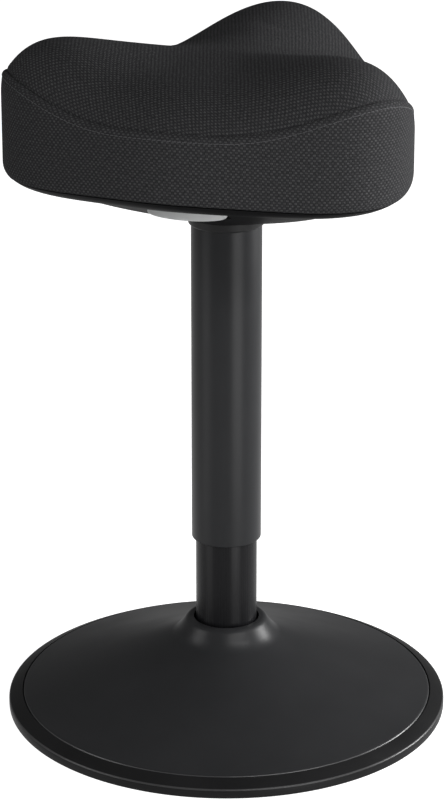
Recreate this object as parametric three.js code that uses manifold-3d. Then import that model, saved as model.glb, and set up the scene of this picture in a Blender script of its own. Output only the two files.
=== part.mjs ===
// A perch stool: a round trumpet base, a gas lift column with a telescoping sleeve, and a padded
// three-lobed seat on a plastic bowl. Millimetres, +Z up, +Y towards the seat's front lobe.
// The origin is on the floor under the column, and the seat stands at the height of the photograph.
import * as THREE from "three";
import Module from "manifold-3d";
import { mergeVertices } from "three/addons/utils/BufferGeometryUtils.js";

const wasm = await Module();
wasm.setup();

// Clearance between neighbouring pieces, the overrun of every cut, and the steps round each form.
const gap = 0.3;
const overrun = 2;
const baseSteps = 48;
const columnSteps = 32;
const innerSteps = 24;
const screwSteps = 10;
const nutFlats = 6;
const seatSteps = 48;

// Base: a pressed steel trumpet on a rubber rim, with a round steel weight inside.
const baseRadius = 180.9;
const rimWallHeight = 7.75;
const rimHeight = 13.4;
const rimLineInset = 11.4;
const rimInset = 27.9;
const rimEdgeRound = 1.5;
const shellSheet = 2.5;
const coneHeight = 54;
const filletWidth = 13.5;
const shoulderHeight = 67.5;
const shoulderWidth = 6.2;
const lipWidth = 3.45;
const lipHeight = 76.2;
const filletRows = 4;
const lipRows = 3;
const bendShare = 0.85;
const mouthGap = 1.85;
const coverRecess = 1.7;
const coverThickness = 2;
const ballastThickness = 8;
const coverScrewInset = 50.9;
const coverHeadShare = 2 / 3;
const socketWall = 4.7;
const socketTop = 62;
const socketFloor = 4;
const socketFlangeWidth = 18;
const socketFlangeThickness = 3;

// Column travel below and above the height shown, and what stays free at its two ends.
const dropTravel = 65;
const riseTravel = 135;
const bushClearance = 1;
const bumpClearance = 3;
const pistonClearance = 9;

// Column: a fixed guide tube, the gas lift's turning rod, and the moving cylinder with its sleeve.
const tubeWall = 1.6;
const bushWall = 8.8;
const bushLength = 78;
const bushFlange = 3;
const glideWall = 1.2;
const glideLength = 20;
const rodRadius = 5;
const rodEndRadius = 4;
const rodEndLength = 19;
const rodFootDrop = 7.4;
const clipGrooveRadius = 3.9;
const clipWidth = 1.4;
const clipRadius = 8;
const clipOpeningShare = 0.2;
const washerRadius = 17;
const washerThickness = 1.5;
const bearingHeight = 3.5;
const bumpRadius = 13;
const bumpHeight = 10.3;
const pistonHeight = 15.4;
const nutRadius = 7;
const nutHeight = 5;
const cylinderRadius = 14;
const cylinderNarrowing = 1;
const cylinderWall = 1.1;
const taperLength = 48;
const valveLength = 61;
const cylinderLip = 2;
const cylinderLipWidth = 2.5;
const sealHeight = 17.7;
const buttonRadius = 3;
const buttonRise = 4.2;
const buttonLength = 17.2;
const sleeveWall = 1.5;
const sleeveLength = 281.75;
const linerLength = 31;
const collarWall = 1.85;
const collarFlare = 0.55;
const collarDrop = 7.05;
const collarRise = 6.4;
const collarFlange = 1.6;
const collarFlangeWidth = 3;

// Seat height at the bowl's hub, and the heights of the mechanism above it.
const hubHeight = 422.5;
const sleeveRise = 7.5;
const plateSheet = 3;
const channelRise = 27.5;
const channelDepth = 21;
const channelHalfWidth = 30;
const channelFront = 35;
const plateHalfWidth = 70;
const plateBoltInset = 12;
const taperSocketWall = 4;
const taperSocketFlange = 28;
const boltRadius = 3;
const boltHeadRadius = 6;
const boltHeadHeight = 4.5;
const teeBarrelWall = 1.2;
const teeFlangeRadius = 9;
const teeFlangeHeight = 1.5;
const boardThickness = 9;
const boardInset = 12;

// Seat outline, stitch line, knee under the seat and crown: mean value and the share of each wave
// round it. The knee is where the bowl's slope turns up into the rolled lower edge.
const lobeMean = 157.23;
const lobeForward = -8.25;
const lobeTwofold = 4.34;
const lobeThreefold = 14.36;
const lobeSixfold = 3.46;
const stitchRise = 101.08;
const stitchForward = -3.5;
const stitchTwofold = 7.99;
const stitchThreefold = 16.34;
const stitchSixfold = 4.35;
const kneeRise = 37.72;
const kneeForward = -1.22;
const kneeTwofold = -0.24;
const kneeThreefold = -2.35;
const crownMean = 25.56;
const crownForward = -19.67;
const crownTwofold = -7.28;
const crownThreefold = 5.21;
const centreRise = 135.8;
const edgeInset = 5;
const edgeRise = 7.5;
const dishShare = 1.4;
const crownShare = 5.17;
const crownRows = 9;
const crownSpreadShare = 1.3;
const rollInset = 34;
const rollRise = 20;
const rollForward = 4;
const bandRollRows = 2;
const bowlRollRows = 3;
const seamInset = 2.2;
const seamRise = 5;
const seamShare = 0.6;
const foldInset = 3;
const foldRise = 6;
const clothThickness = 1.6;
const skirtRise = 2;
const skirtEase = 2.2;

// Where the cloth ends on the rolled edge and the bowl takes over, as a turn in radians.
const hemTurn = 0.885;
const hemTurnForward = -0.37;
const hemTurnTwofold = 0.085;
const hemTurnGap = 0.05;
const foamHemTurn = 0.2;

// Bowl under the seat, its three deep-set screws and the window of the release paddle.
const bowlWall = 3;
const bowlRimStep = 0.6;
const bowlBendShare = 1.09;
const bowlRows = 5;
const bossCircle = 98;
const bossRadius = 6.5;
const bossBoreRadius = 5;
const bossSeatRise = 34;
const shellScrewRadius = 2;
const shellScrewHeadRadius = 4.2;
const shellScrewHead = 3.3;
const shellScrewBite = 5.5;
const paddleReach = 117.3;
const paddleHalfWidth = 31;
const paddleBow = 17;
const paddleBowShare = 0.98;
const paddleDepth = 29.3;
const paddleRise = 29;
const paddleHeight = 10;
const paddleCorner = 5;
const paddleSteps = 12;
const windowGap = 0.8;
const armRise = 35;
const armThickness = 3;
const armHalfWidth = 6;
const armFront = 8;
const armBack = 104;
const pinBack = 28;
const pinRadius = 2.5;
const pinHubRadius = 5.5;
const pinOverhang = 0.6;
const springBack = 55;
const springRadius = 3.6;
const springWire = 0.9;
const springTurns = 3;
const springSteps = 8;
const springSides = 5;

// Each finish is a function that makes a fresh material.
const finish = (color, roughness, metalness) => () =>
  new THREE.MeshStandardMaterial({ color, roughness, metalness });
const satinBlack = finish(0x26272a, 0.5, 0.3);
const glossBlack = finish(0x1b1c1e, 0.28, 0.3);
const bareSteel = finish(0x9a9c9f, 0.35, 0.9);
const darkSteel = finish(0x45474a, 0.5, 0.8);
const rubber = finish(0x1c1c1d, 0.8, 0);
const blackPlastic = finish(0x202123, 0.55, 0);
const palePlastic = finish(0xd9d8d2, 0.5, 0);
const greyPlastic = finish(0x9fa1a2, 0.45, 0);
const plywood = finish(0xb58d5f, 0.7, 0);
const foam = finish(0xe6e0cf, 0.95, 0);
const cloth = finish(0x2b2c2e, 0.95, 0);

const group = new THREE.Group();

function add(name, geometry, makeMaterial) {
  const mesh = new THREE.Mesh(geometry, makeMaterial());
  mesh.name = name;
  group.add(mesh);
}

// The geometry with shared corners and without faces that have shrunk to a line.
function welded(geometry) {
  geometry.deleteAttribute("normal");
  geometry.deleteAttribute("uv");
  const merged = mergeVertices(geometry);
  const index = merged.index.array;
  const kept = [];
  for (let i = 0; i < index.length; i += 3) {
    const [a, b, c] = [index[i], index[i + 1], index[i + 2]];
    if (a !== b && b !== c && c !== a) kept.push(a, b, c);
  }
  merged.setIndex(kept);
  return merged;
}

function solidOf(geometry) {
  const merged = welded(geometry.clone());
  return new wasm.Manifold(
    new wasm.Mesh({
      numProp: 3,
      vertProperties: merged.attributes.position.array,
      triVerts: new Uint32Array(merged.index.array),
    }),
  );
}

function geometryOf(solid) {
  const mesh = solid.getMesh();
  const geometry = new THREE.BufferGeometry();
  geometry.setAttribute("position", new THREE.BufferAttribute(mesh.vertProperties, 3));
  geometry.setIndex(new THREE.BufferAttribute(mesh.triVerts, 1));
  return geometry;
}

function cut(geometry, tools) {
  return geometryOf(tools.reduce((body, tool) => body.subtract(solidOf(tool)), solidOf(geometry)));
}

function join(geometry, pieces) {
  return geometryOf(pieces.reduce((body, piece) => body.add(solidOf(piece)), solidOf(geometry)));
}

// A piece turned on a lathe about +Z. Its outline is [radius, height] pairs that run up the outside
// and down the inside; one that starts or ends off the axis is closed on itself.
function turned(outline, steps) {
  const points = outline.map(([radius, height]) => new THREE.Vector2(radius, height));
  const last = points.length - 1;
  if (points[0].x > 0 || points[last].x > 0) points.push(points[0].clone());
  return welded(new THREE.LatheGeometry(points, steps).rotateX(Math.PI / 2));
}

const ringOutline = (inner, outer, bottom, top) => [
  [inner, bottom],
  [outer, bottom],
  [outer, top],
  [inner, top],
];

const ring = (inner, outer, bottom, top, steps) =>
  turned(ringOutline(inner, outer, bottom, top), steps);

// A plain rod about +Z, moved to its place.
const rod = (radius, bottom, top, steps, x = 0, y = 0) =>
  welded(
    new THREE.CylinderGeometry(radius, radius, top - bottom, steps)
      .rotateX(Math.PI / 2)
      .translate(x, y, (bottom + top) / 2),
  );

const block = (low, high) =>
  welded(
    new THREE.BoxGeometry(high[0] - low[0], high[1] - low[1], high[2] - low[2]).translate(
      (low[0] + high[0]) / 2,
      (low[1] + high[1]) / 2,
      (low[2] + high[2]) / 2,
    ),
  );

// A flat outline of [x, y] pairs, raised from one height to another.
function raised(outline, bottom, top) {
  const shape = new THREE.Shape(outline.map(([x, y]) => new THREE.Vector2(x, y)));
  const options = { depth: top - bottom, bevelEnabled: false };
  return welded(new THREE.ExtrudeGeometry(shape, options).translate(0, 0, bottom));
}

// The same path of [radius, height] pairs, moved to its left by a distance.
function beside(path, distance) {
  return path.map(([radius, height], i) => {
    const before = path[Math.max(i - 1, 0)];
    const after = path[Math.min(i + 1, path.length - 1)];
    const across = after[0] - before[0];
    const up = after[1] - before[1];
    const length = Math.hypot(across, up);
    return [radius - (up / length) * distance, height + (across / length) * distance];
  });
}

// A closed skin whose section is a path at each angle round the seat. The path's points run up the
// outside; a path that starts and ends on the axis is closed by its poles, any other by itself.
function swept(pathAt) {
  const paths = Array.from({ length: seatSteps }, (_, i) => pathAt((2 * Math.PI * i) / seatSteps));
  const rows = paths[0].length;
  const hasPoles = paths[0][0][0] === 0;
  const points = [];
  paths.forEach((path, i) => {
    const angle = (2 * Math.PI * i) / seatSteps;
    path.forEach(([radius, height]) => {
      points.push(new THREE.Vector3(-radius * Math.sin(angle), radius * Math.cos(angle), height));
    });
  });
  const corner = (i, row) => points[(i % seatSteps) * rows + (row % rows)];
  const corners = [];
  for (let i = 0; i < seatSteps; i += 1) {
    for (let row = 0; row < (hasPoles ? rows - 1 : rows); row += 1) {
      const [a, b] = [corner(i, row), corner(i + 1, row)];
      const [c, d] = [corner(i + 1, row + 1), corner(i, row + 1)];
      corners.push(a, b, c, a, c, d);
    }
  }
  return welded(new THREE.BufferGeometry().setFromPoints(corners));
}

// Heights worked out from the sizes above, from the floor up.
const rimRadius = baseRadius - rimLineInset;
const rimInner = baseRadius - rimInset;
const ballastBottom = coverRecess + coverThickness + gap;
const ballastTop = ballastBottom + ballastThickness;
const bushBore = cylinderRadius + gap;
const tubeBore = bushBore + bushWall + gap;
const tubeRadius = tubeBore + tubeWall;
const cylinderTopRadius = cylinderRadius - cylinderNarrowing;
const socketRadius = tubeRadius + gap + socketWall;
const tubeBottom = ballastTop + gap;
const rodBottom = ballastTop - rodFootDrop;
const sleeveTop = hubHeight + sleeveRise;
const sleeveBottom = sleeveTop - sleeveLength;
const sleeveBore = tubeRadius + gap + glideWall + gap;
const sleeveRadius = sleeveBore + sleeveWall;
const channelBottom = hubHeight + channelRise;
const channelFloor = channelBottom + plateSheet;
const plateBottom = channelBottom + channelDepth;
const plateTop = plateBottom + plateSheet;
const boardBottom = plateTop + gap;
const boardTop = boardBottom + boardThickness;
const bumpTop = tubeBottom + 2 * washerThickness + bearingHeight + bumpHeight + 3 * gap;
const cylinderTop = channelFloor;
const cylinderBottom = bumpTop + dropTravel + bumpClearance;
const sealBottom = cylinderBottom + cylinderLip + gap;
const rodShoulder = sealBottom + sealHeight + riseTravel + pistonClearance;
const taperBottom = cylinderTop - taperLength;
const tubeTop = taperBottom - dropTravel - bushClearance - bushFlange - gap;
const armBottom = hubHeight + armRise;
const armTop = armBottom + armThickness;
const pinHeight = armBottom + armThickness / 2;

// Places round the column, as [x, y] pairs.
const around = (count, radius, start = 0) =>
  Array.from({ length: count }, (_, i) => {
    const angle = start + (2 * Math.PI * i) / count;
    return [radius * Math.sin(angle), radius * Math.cos(angle)];
  });

const coverScrewPlaces = around(4, baseRadius - coverScrewInset, Math.PI / 4);
const shellScrewPlaces = around(3, bossCircle);
const plateBoltReach = plateHalfWidth - plateBoltInset;
const plateBoltPlaces = around(4, plateBoltReach * Math.SQRT2, Math.PI / 4);

// Rubber rim: it stands on the floor, and its sloping ledge holds the edge of the pressed cover.
const shellSlope = (coneHeight - rimHeight) / (rimRadius - coneRadius());
const shellDrop = shellSheet * Math.hypot(1, shellSlope);

function coneRadius() {
  return tubeRadius + mouthGap + lipWidth + shoulderWidth + filletWidth;
}

function addRim() {
  const ledge = rimHeight - shellDrop - gap;
  const outline = [
    [rimInner, 0],
    [baseRadius - rimEdgeRound, 0],
    [baseRadius, rimEdgeRound],
    [baseRadius, rimWallHeight],
    [rimRadius, rimHeight],
    [rimRadius, ledge],
    [rimInner, ledge + (rimRadius - rimInner) * shellSlope],
  ];
  add("rim_ring", turned(outline, baseSteps), rubber);
}

// Pressed cover: a straight cone, a hollow fillet, a rounded shoulder and a flat lip.
function addBaseShell() {
  const mouth = tubeRadius + mouthGap;
  const lip = mouth + lipWidth;
  const shoulder = lip + shoulderWidth;
  const cone = coneRadius();
  const bendHeight = coneHeight + (cone - shoulder) * shellSlope * bendShare;
  const fillet = new THREE.QuadraticBezierCurve(
    new THREE.Vector2(cone, coneHeight),
    new THREE.Vector2(shoulder + lipWidth / 2, bendHeight),
    new THREE.Vector2(shoulder, shoulderHeight),
  );
  const crown = new THREE.QuadraticBezierCurve(
    new THREE.Vector2(shoulder, shoulderHeight),
    new THREE.Vector2(shoulder - lipWidth / 2, lipHeight),
    new THREE.Vector2(lip, lipHeight),
  );
  const outer = [
    [rimRadius - gap, rimHeight],
    ...fillet.getPoints(filletRows).map((point) => [point.x, point.y]),
    ...crown.getPoints(lipRows).slice(1).map((point) => [point.x, point.y]),
    [mouth, lipHeight],
  ];
  add("base_shell", turned([...outer, ...beside(outer, shellSheet).reverse()], baseSteps), satinBlack);
}

// Weight, socket and bottom cover with its four screws.
function addBallast() {
  const holes = coverScrewPlaces.map(([x, y]) =>
    rod(shellScrewRadius + gap, ballastBottom - overrun, ballastTop + overrun, screwSteps, x, y),
  );
  const plate = ring(socketRadius + gap, rimInner - gap, ballastBottom, ballastTop, baseSteps);
  add("ballast_plate", cut(plate, holes), darkSteel);
  const floor = ballastTop - socketFloor;
  const flange = ballastTop + gap;
  const outline = [
    [rodRadius + 2 * gap, floor],
    [socketRadius, floor],
    [socketRadius, flange],
    [socketRadius + socketFlangeWidth, flange],
    [socketRadius + socketFlangeWidth, flange + socketFlangeThickness],
    [socketRadius, flange + socketFlangeThickness],
    [socketRadius, socketTop],
    [tubeRadius + gap, socketTop],
    [tubeRadius + gap, ballastTop],
    [rodRadius + 2 * gap, ballastTop],
  ];
  add("base_socket", turned(outline, innerSteps), darkSteel);
}

function addBottomCover() {
  const top = coverRecess + coverThickness;
  const holes = coverScrewPlaces.map(([x, y]) =>
    rod(shellScrewRadius + gap, coverRecess - overrun, top + overrun, screwSteps, x, y),
  );
  add("bottom_cover", cut(rod(rimInner - gap, coverRecess, top, baseSteps), holes), blackPlastic);
  const headTop = coverRecess - gap;
  const headBottom = headTop * (1 - coverHeadShare);
  coverScrewPlaces.forEach(([x, y], i) => {
    const screw = turned(
      [
        [0, headBottom],
        [shellScrewHeadRadius, headBottom],
        [shellScrewHeadRadius, headTop],
        [shellScrewRadius, headTop],
        [shellScrewRadius, ballastTop - gap],
        [0, ballastTop - gap],
      ],
      screwSteps,
    );
    add(`cover_screw_${i + 1}`, screw.translate(x, y, 0), bareSteel);
  });
}

// Guide tube, with the bush that guides the cylinder and the glide that centres the sleeve.
function addGuideTube() {
  add("guide_tube", ring(tubeBore, tubeRadius, tubeBottom, tubeTop, columnSteps), glossBlack);
  const outline = [
    [bushBore, tubeTop - bushLength],
    [tubeBore - gap, tubeTop - bushLength],
    [tubeBore - gap, tubeTop + gap],
    [tubeRadius - gap, tubeTop + gap],
    [tubeRadius - gap, tubeTop + gap + bushFlange],
    [bushBore, tubeTop + gap + bushFlange],
  ];
  add("guide_bush", turned(outline, innerSteps), palePlastic);
  const glide = tubeRadius + gap;
  add("tube_glide", ring(glide, glide + glideWall, tubeTop - glideLength, tubeTop, columnSteps), palePlastic);
}

// Thrust bearing on the socket's floor and the rubber stop above it, each resting on the last.
function addBearing() {
  const shaft = rodRadius + gap;
  const parts = [
    ["bearing_washer_lower", shaft + gap, washerRadius, washerThickness, bareSteel],
    ["bearing_cage", shaft, washerRadius, bearingHeight, palePlastic],
    ["bearing_washer_upper", shaft, washerRadius, washerThickness, bareSteel],
    ["bump_stop", shaft, bumpRadius, bumpHeight, rubber],
  ];
  let bottom = ballastTop + gap;
  parts.forEach(([name, inner, outer, height, makeMaterial]) => {
    add(name, ring(inner, outer, bottom, bottom + height, innerSteps), makeMaterial);
    bottom += height + gap;
  });
}

// Piston rod with its foot groove and clip, and the piston with its nut on the rod's reduced end.
function addRod() {
  const clipTop = ballastTop - socketFloor - gap;
  const clipBottom = clipTop - clipWidth;
  const outline = [
    [0, rodBottom],
    [rodRadius, rodBottom],
    [rodRadius, clipBottom - gap],
    [clipGrooveRadius, clipBottom - gap],
    [clipGrooveRadius, clipTop + gap],
    [rodRadius, clipTop + gap],
    [rodRadius, rodShoulder],
    [rodEndRadius, rodShoulder],
    [rodEndRadius, rodShoulder + rodEndLength],
    [0, rodShoulder + rodEndLength],
  ];
  add("piston_rod", turned(outline, innerSteps), bareSteel);
  const clipBore = clipGrooveRadius + gap;
  const notch = block(
    [-clipRadius * clipOpeningShare, 0, clipBottom - overrun],
    [clipRadius * clipOpeningShare, clipRadius + overrun, clipTop + overrun],
  );
  const clipRing = ring(clipBore, clipRadius, clipBottom, clipTop, innerSteps);
  add("rod_clip", cut(clipRing, [notch]), darkSteel);
  const bore = cylinderRadius - cylinderWall;
  const pistonBottom = rodShoulder + gap;
  const pistonTop = pistonBottom + pistonHeight;
  const hole = rodEndRadius + gap;
  add("piston", ring(hole, bore - gap, pistonBottom, pistonTop, innerSteps), darkSteel);
  const nutBottom = pistonTop + gap;
  const nutBlank = rod(nutRadius, nutBottom, nutBottom + nutHeight, nutFlats);
  const nutHole = rod(hole, nutBottom - overrun, nutBottom + nutHeight + overrun, innerSteps);
  add("piston_nut", cut(nutBlank, [nutHole]), bareSteel);
}

// Gas cylinder: a thin tube with a rolled lip over its seal, and a solid tapered head for the valve.
function addCylinder() {
  const bore = cylinderRadius - cylinderWall;
  const valveBore = buttonRadius + gap;
  const lipRadius = cylinderRadius - cylinderLipWidth;
  const outline = [
    [lipRadius, cylinderBottom],
    [cylinderRadius, cylinderBottom],
    [cylinderRadius, taperBottom],
    [cylinderTopRadius, cylinderTop],
    [valveBore, cylinderTop],
    [valveBore, cylinderTop - valveLength],
    [bore, cylinderTop - valveLength],
    [bore, cylinderBottom + cylinderLip],
    [lipRadius, cylinderBottom + cylinderLip],
  ];
  add("gas_cylinder", turned(outline, innerSteps), bareSteel);
  add("rod_seal", ring(rodRadius + gap, bore - gap, sealBottom, sealBottom + sealHeight, innerSteps), rubber);
  const buttonTop = cylinderTop + buttonRise;
  add("release_button", rod(buttonRadius, buttonTop - buttonLength, buttonTop, screwSteps), bareSteel);
}

// Outer sleeve with its liner, and the collar that passes through the bowl's hub.
function addSleeve() {
  add("sleeve", ring(sleeveBore, sleeveRadius, sleeveBottom, sleeveTop, columnSteps), satinBlack);
  const glide = tubeRadius + gap;
  const liner = ring(glide, glide + glideWall, sleeveBottom, sleeveBottom + linerLength, columnSteps);
  add("sleeve_liner", liner, blackPlastic);
  const bore = sleeveRadius + gap;
  const flange = hubHeight + collarRise - collarFlange;
  const neck = collarRadius();
  const outline = [
    [bore, hubHeight - collarDrop],
    [bore + collarWall, hubHeight - collarDrop],
    [neck, hubHeight - gap],
    [neck, flange],
    [neck + collarFlangeWidth, flange],
    [neck + collarFlangeWidth, flange + collarFlange],
    [bore, flange + collarFlange],
  ];
  add("collar", turned(outline, columnSteps), blackPlastic);
}

function collarRadius() {
  return sleeveRadius + gap + collarWall + collarFlare;
}

// Taper socket: it stands on the sleeve's end, grips the cylinder's taper and carries the plate.
function addTaperSocket() {
  const top = channelBottom - gap;
  const flange = sleeveTop + gap;
  const boreAt = (height) =>
    gap + THREE.MathUtils.mapLinear(height, taperBottom, cylinderTop, cylinderRadius, cylinderTopRadius);
  const outer = cylinderRadius + gap + taperSocketWall;
  const outline = [
    [boreAt(taperBottom), taperBottom],
    [outer, taperBottom],
    [outer, flange],
    [taperSocketFlange, flange],
    [taperSocketFlange, flange + plateSheet],
    [outer, flange + plateSheet],
    [outer, top - plateSheet],
    [taperSocketFlange, top - plateSheet],
    [taperSocketFlange, top],
    [boreAt(top), top],
  ];
  add("taper_socket", turned(outline, innerSteps), darkSteel);
}

// Seat plate: a flat square with a channel under it, which the release arm and its pin sit in.
function addSeatPlate() {
  const outside = channelHalfWidth + plateSheet;
  const plate = block([-plateHalfWidth, -plateHalfWidth, plateBottom], [plateHalfWidth, plateHalfWidth, plateTop]);
  const front = channelFront + plateSheet;
  const body = block([-outside, -plateHalfWidth, channelBottom], [outside, front, plateTop]);
  const hollow = block(
    [-channelHalfWidth, -plateHalfWidth - overrun, channelFloor],
    [channelHalfWidth, channelFront, plateBottom],
  );
  const cylinderHole = rod(
    cylinderTopRadius + 2 * gap,
    channelBottom - overrun,
    channelFloor + overrun,
    innerSteps,
  );
  const pinHole = crossRod(pinRadius + gap, outside + overrun);
  const boltHoles = plateBoltPlaces.map(([x, y]) =>
    rod(boltRadius + gap, plateBottom - overrun, plateTop + overrun, screwSteps, x, y),
  );
  const whole = join(plate, [body]);
  add("seat_plate", cut(whole, [hollow, cylinderHole, pinHole, ...boltHoles]), darkSteel);
}

// A rod along X on the release pin's axis.
function crossRod(radius, halfLength) {
  return welded(
    new THREE.CylinderGeometry(radius, radius, 2 * halfLength, screwSteps)
      .rotateZ(Math.PI / 2)
      .translate(0, -pinBack, pinHeight),
  );
}

// Plate bolts from below, in tee nuts that sit in the board.
function addPlateBolts() {
  const barrel = boltRadius + gap + teeBarrelWall;
  plateBoltPlaces.forEach(([x, y], i) => {
    const headTop = plateBottom - gap;
    const bolt = turned(
      [
        [0, headTop - boltHeadHeight],
        [boltHeadRadius, headTop - boltHeadHeight],
        [boltHeadRadius, headTop],
        [boltRadius, headTop],
        [boltRadius, boardTop],
        [0, boardTop],
      ],
      screwSteps,
    );
    add(`plate_bolt_${i + 1}`, bolt.translate(x, y, 0), bareSteel);
    const nut = turned(
      [
        [boltRadius + gap, boardBottom + gap],
        [barrel, boardBottom + gap],
        [barrel, boardTop + gap],
        [teeFlangeRadius, boardTop + gap],
        [teeFlangeRadius, boardTop + gap + teeFlangeHeight],
        [boltRadius + gap, boardTop + gap + teeFlangeHeight],
      ],
      screwSteps,
    );
    add(`tee_nut_${i + 1}`, nut.translate(x, y, 0), bareSteel);
  });
}

// The seat's outline and heights at an angle from the front lobe.
function wave(angle, mean, forward, twofold, threefold, sixfold) {
  return (
    mean +
    forward * Math.cos(angle) +
    twofold * Math.cos(2 * angle) +
    threefold * Math.cos(3 * angle) +
    sixfold * Math.cos(6 * angle)
  );
}

const outlineAt = (angle) =>
  wave(angle, lobeMean, lobeForward, lobeTwofold, lobeThreefold, lobeSixfold);
const stitchAt = (angle) =>
  hubHeight + wave(angle, stitchRise, stitchForward, stitchTwofold, stitchThreefold, stitchSixfold);
const kneeAt = (angle) =>
  hubHeight + wave(angle, kneeRise, kneeForward, kneeTwofold, kneeThreefold, 0);
const rollRiseAt = (angle) => wave(angle, rollRise, rollForward, 0, 0, 0);
const hemTurnAt = (angle) => wave(angle, hemTurn, hemTurnForward, hemTurnTwofold, 0, 0);
const crownAt = (angle) =>
  wave(angle, crownMean, crownForward, crownTwofold, crownThreefold, 0);

// The top surface: a saddle between the centre and the edge, with a crown over each lobe.
function topPath(angle, sink) {
  const edge = outlineAt(angle) - edgeInset;
  const edgeHeight = stitchAt(angle) + edgeRise;
  const centreHeight = hubHeight + centreRise;
  const path = [];
  for (let row = 0; row <= crownRows; row += 1) {
    const share = 1 - (row / crownRows) ** crownSpreadShare;
    const level = THREE.MathUtils.lerp(centreHeight, edgeHeight, share ** dishShare);
    const crown = crownAt(angle) * share ** 2 * (1 - share ** crownShare);
    path.push([edge * share, level + crown - sink]);
  }
  return path;
}

// A point on the seat's rolled lower edge, from the knee at no turn to the wall at a quarter turn.
function rollPoint(angle, turn, inset) {
  const radius = outlineAt(angle) - rollInset + (rollInset - inset) * Math.sin(turn);
  return [radius, kneeAt(angle) + rollRiseAt(angle) * (1 - Math.cos(turn))];
}

// The band's outside: from its hem on the rolled edge, straight up the side, turned in at the seam.
function bandPath(angle) {
  const outline = outlineAt(angle);
  const stitch = stitchAt(angle);
  const path = [];
  for (let row = 0; row <= bandRollRows; row += 1) {
    const turn = THREE.MathUtils.lerp(hemTurnAt(angle), Math.PI / 2, row / bandRollRows);
    path.push(rollPoint(angle, turn, 0));
  }
  path.push([outline, stitch]);
  path.push([outline - seamInset * (1 - seamShare), stitch + seamRise * seamShare]);
  path.push([outline - seamInset, stitch + seamRise]);
  return path;
}

function addCovers() {
  const band = (angle) => {
    const outside = bandPath(angle);
    return [...outside, ...beside(outside, clothThickness).reverse()];
  };
  add("cover_band", swept(band), cloth);
  const panel = (angle) => {
    const fold = [outlineAt(angle) - foldInset, stitchAt(angle) + foldRise];
    const inside = topPath(angle, clothThickness).reverse();
    return [...inside, fold, ...topPath(angle, 0)];
  };
  add("cover_top", swept(panel), cloth);
}

// Moulded foam inside both covers: it lies on the board's nuts, and its skirt goes round the board.
function addFoam() {
  const bottom = boardTop + gap + teeFlangeHeight + gap;
  const skirt = boardBottom + skirtRise;
  const lining = clothThickness + 2 * gap;
  const section = (angle) => {
    const boardEdge = outlineAt(angle) - boardInset + gap;
    const turn = hemTurnAt(angle) + foamHemTurn;
    const hem = [rollPoint(angle, turn, 0), rollPoint(angle, turn + hemTurnGap, 0)];
    const roll = kneeAt(angle) + rollRiseAt(angle);
    return [
      [0, bottom],
      [boardEdge, bottom],
      [boardEdge, skirt],
      beside(hem, lining + gap)[0],
      [outlineAt(angle) - lining, roll + skirtEase],
      [outlineAt(angle) - lining, stitchAt(angle) - skirtEase],
      ...topPath(angle, lining).slice(1),
    ];
  };
  add("seat_foam", swept(section), foam);
}

// Seat board: a flat panel inside the outline, on the plate and on the bowl's rim.
function addBoard() {
  const outline = Array.from({ length: seatSteps }, (_, i) => {
    const angle = (2 * Math.PI * i) / seatSteps;
    const radius = outlineAt(angle) - boardInset;
    return [-radius * Math.sin(angle), radius * Math.cos(angle)];
  });
  const hole = (radius) => ([x, y]) =>
    rod(radius, boardBottom - overrun, boardTop + overrun, screwSteps, x, y);
  const nutHole = boltRadius + teeBarrelWall + 2 * gap;
  const holes = [
    ...plateBoltPlaces.map(hole(nutHole)),
    ...shellScrewPlaces.map(hole(shellScrewRadius + gap)),
  ];
  add("seat_board", cut(raised(outline, boardBottom, boardTop), holes), plywood);
}

// The bowl's outside: its slope from the hub to the knee, and its rolled rim up to the cloth.
function bowlSlope(angle) {
  const hub = collarRadius() + gap;
  const knee = outlineAt(angle) - rollInset;
  const path = [];
  for (let row = 0; row <= bowlRows; row += 1) {
    const share = row / bowlRows;
    path.push([
      THREE.MathUtils.lerp(hub, knee, share),
      THREE.MathUtils.lerp(hubHeight, kneeAt(angle), share ** bowlBendShare),
    ]);
  }
  return path;
}

function bowlRim(angle) {
  const path = [];
  for (let row = 1; row <= bowlRollRows; row += 1) {
    const turn = ((hemTurnAt(angle) - hemTurnGap) * row) / bowlRollRows;
    path.push(rollPoint(angle, turn, bowlRimStep));
  }
  return path;
}

function addUnderShell() {
  const section = (angle) => {
    const outside = [...bowlSlope(angle), ...bowlRim(angle)];
    const inside = beside(outside, bowlWall);
    inside[0] = [outside[0][0], hubHeight + bowlWall];
    return [...outside, ...inside.reverse()];
  };
  const core = swept((angle) => {
    const middle = beside(bowlSlope(angle), bowlWall / 2);
    return [[0, middle[0][1]], ...middle, [middle[bowlRows][0], plateTop], [0, plateTop]];
  });
  const bosses = shellScrewPlaces.map(([x, y]) =>
    geometryOf(solidOf(rod(bossRadius, hubHeight, plateTop, screwSteps, x, y)).intersect(solidOf(core))),
  );
  const seat = hubHeight + bossSeatRise;
  const bores = shellScrewPlaces.flatMap(([x, y]) => [
    rod(bossBoreRadius, hubHeight - overrun, seat, screwSteps, x, y),
    rod(shellScrewRadius + gap, hubHeight, plateTop + overrun, screwSteps, x, y),
  ]);
  const window = raised(paddleOutline(windowGap), hubHeight, boardBottom - overrun);
  add("under_shell", cut(join(swept(section), bosses), [...bores, window]), blackPlastic);
  shellScrewPlaces.forEach(([x, y], i) => {
    const headTop = seat - gap;
    const screw = turned(
      [
        [0, headTop - shellScrewHead],
        [shellScrewHeadRadius, headTop - shellScrewHead],
        [shellScrewHeadRadius, headTop],
        [shellScrewRadius, headTop],
        [shellScrewRadius, boardBottom + shellScrewBite],
        [0, boardBottom + shellScrewBite],
      ],
      screwSteps,
    );
    add(`shell_screw_${i + 1}`, screw.translate(x, y, 0), darkSteel);
  });
}

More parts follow.
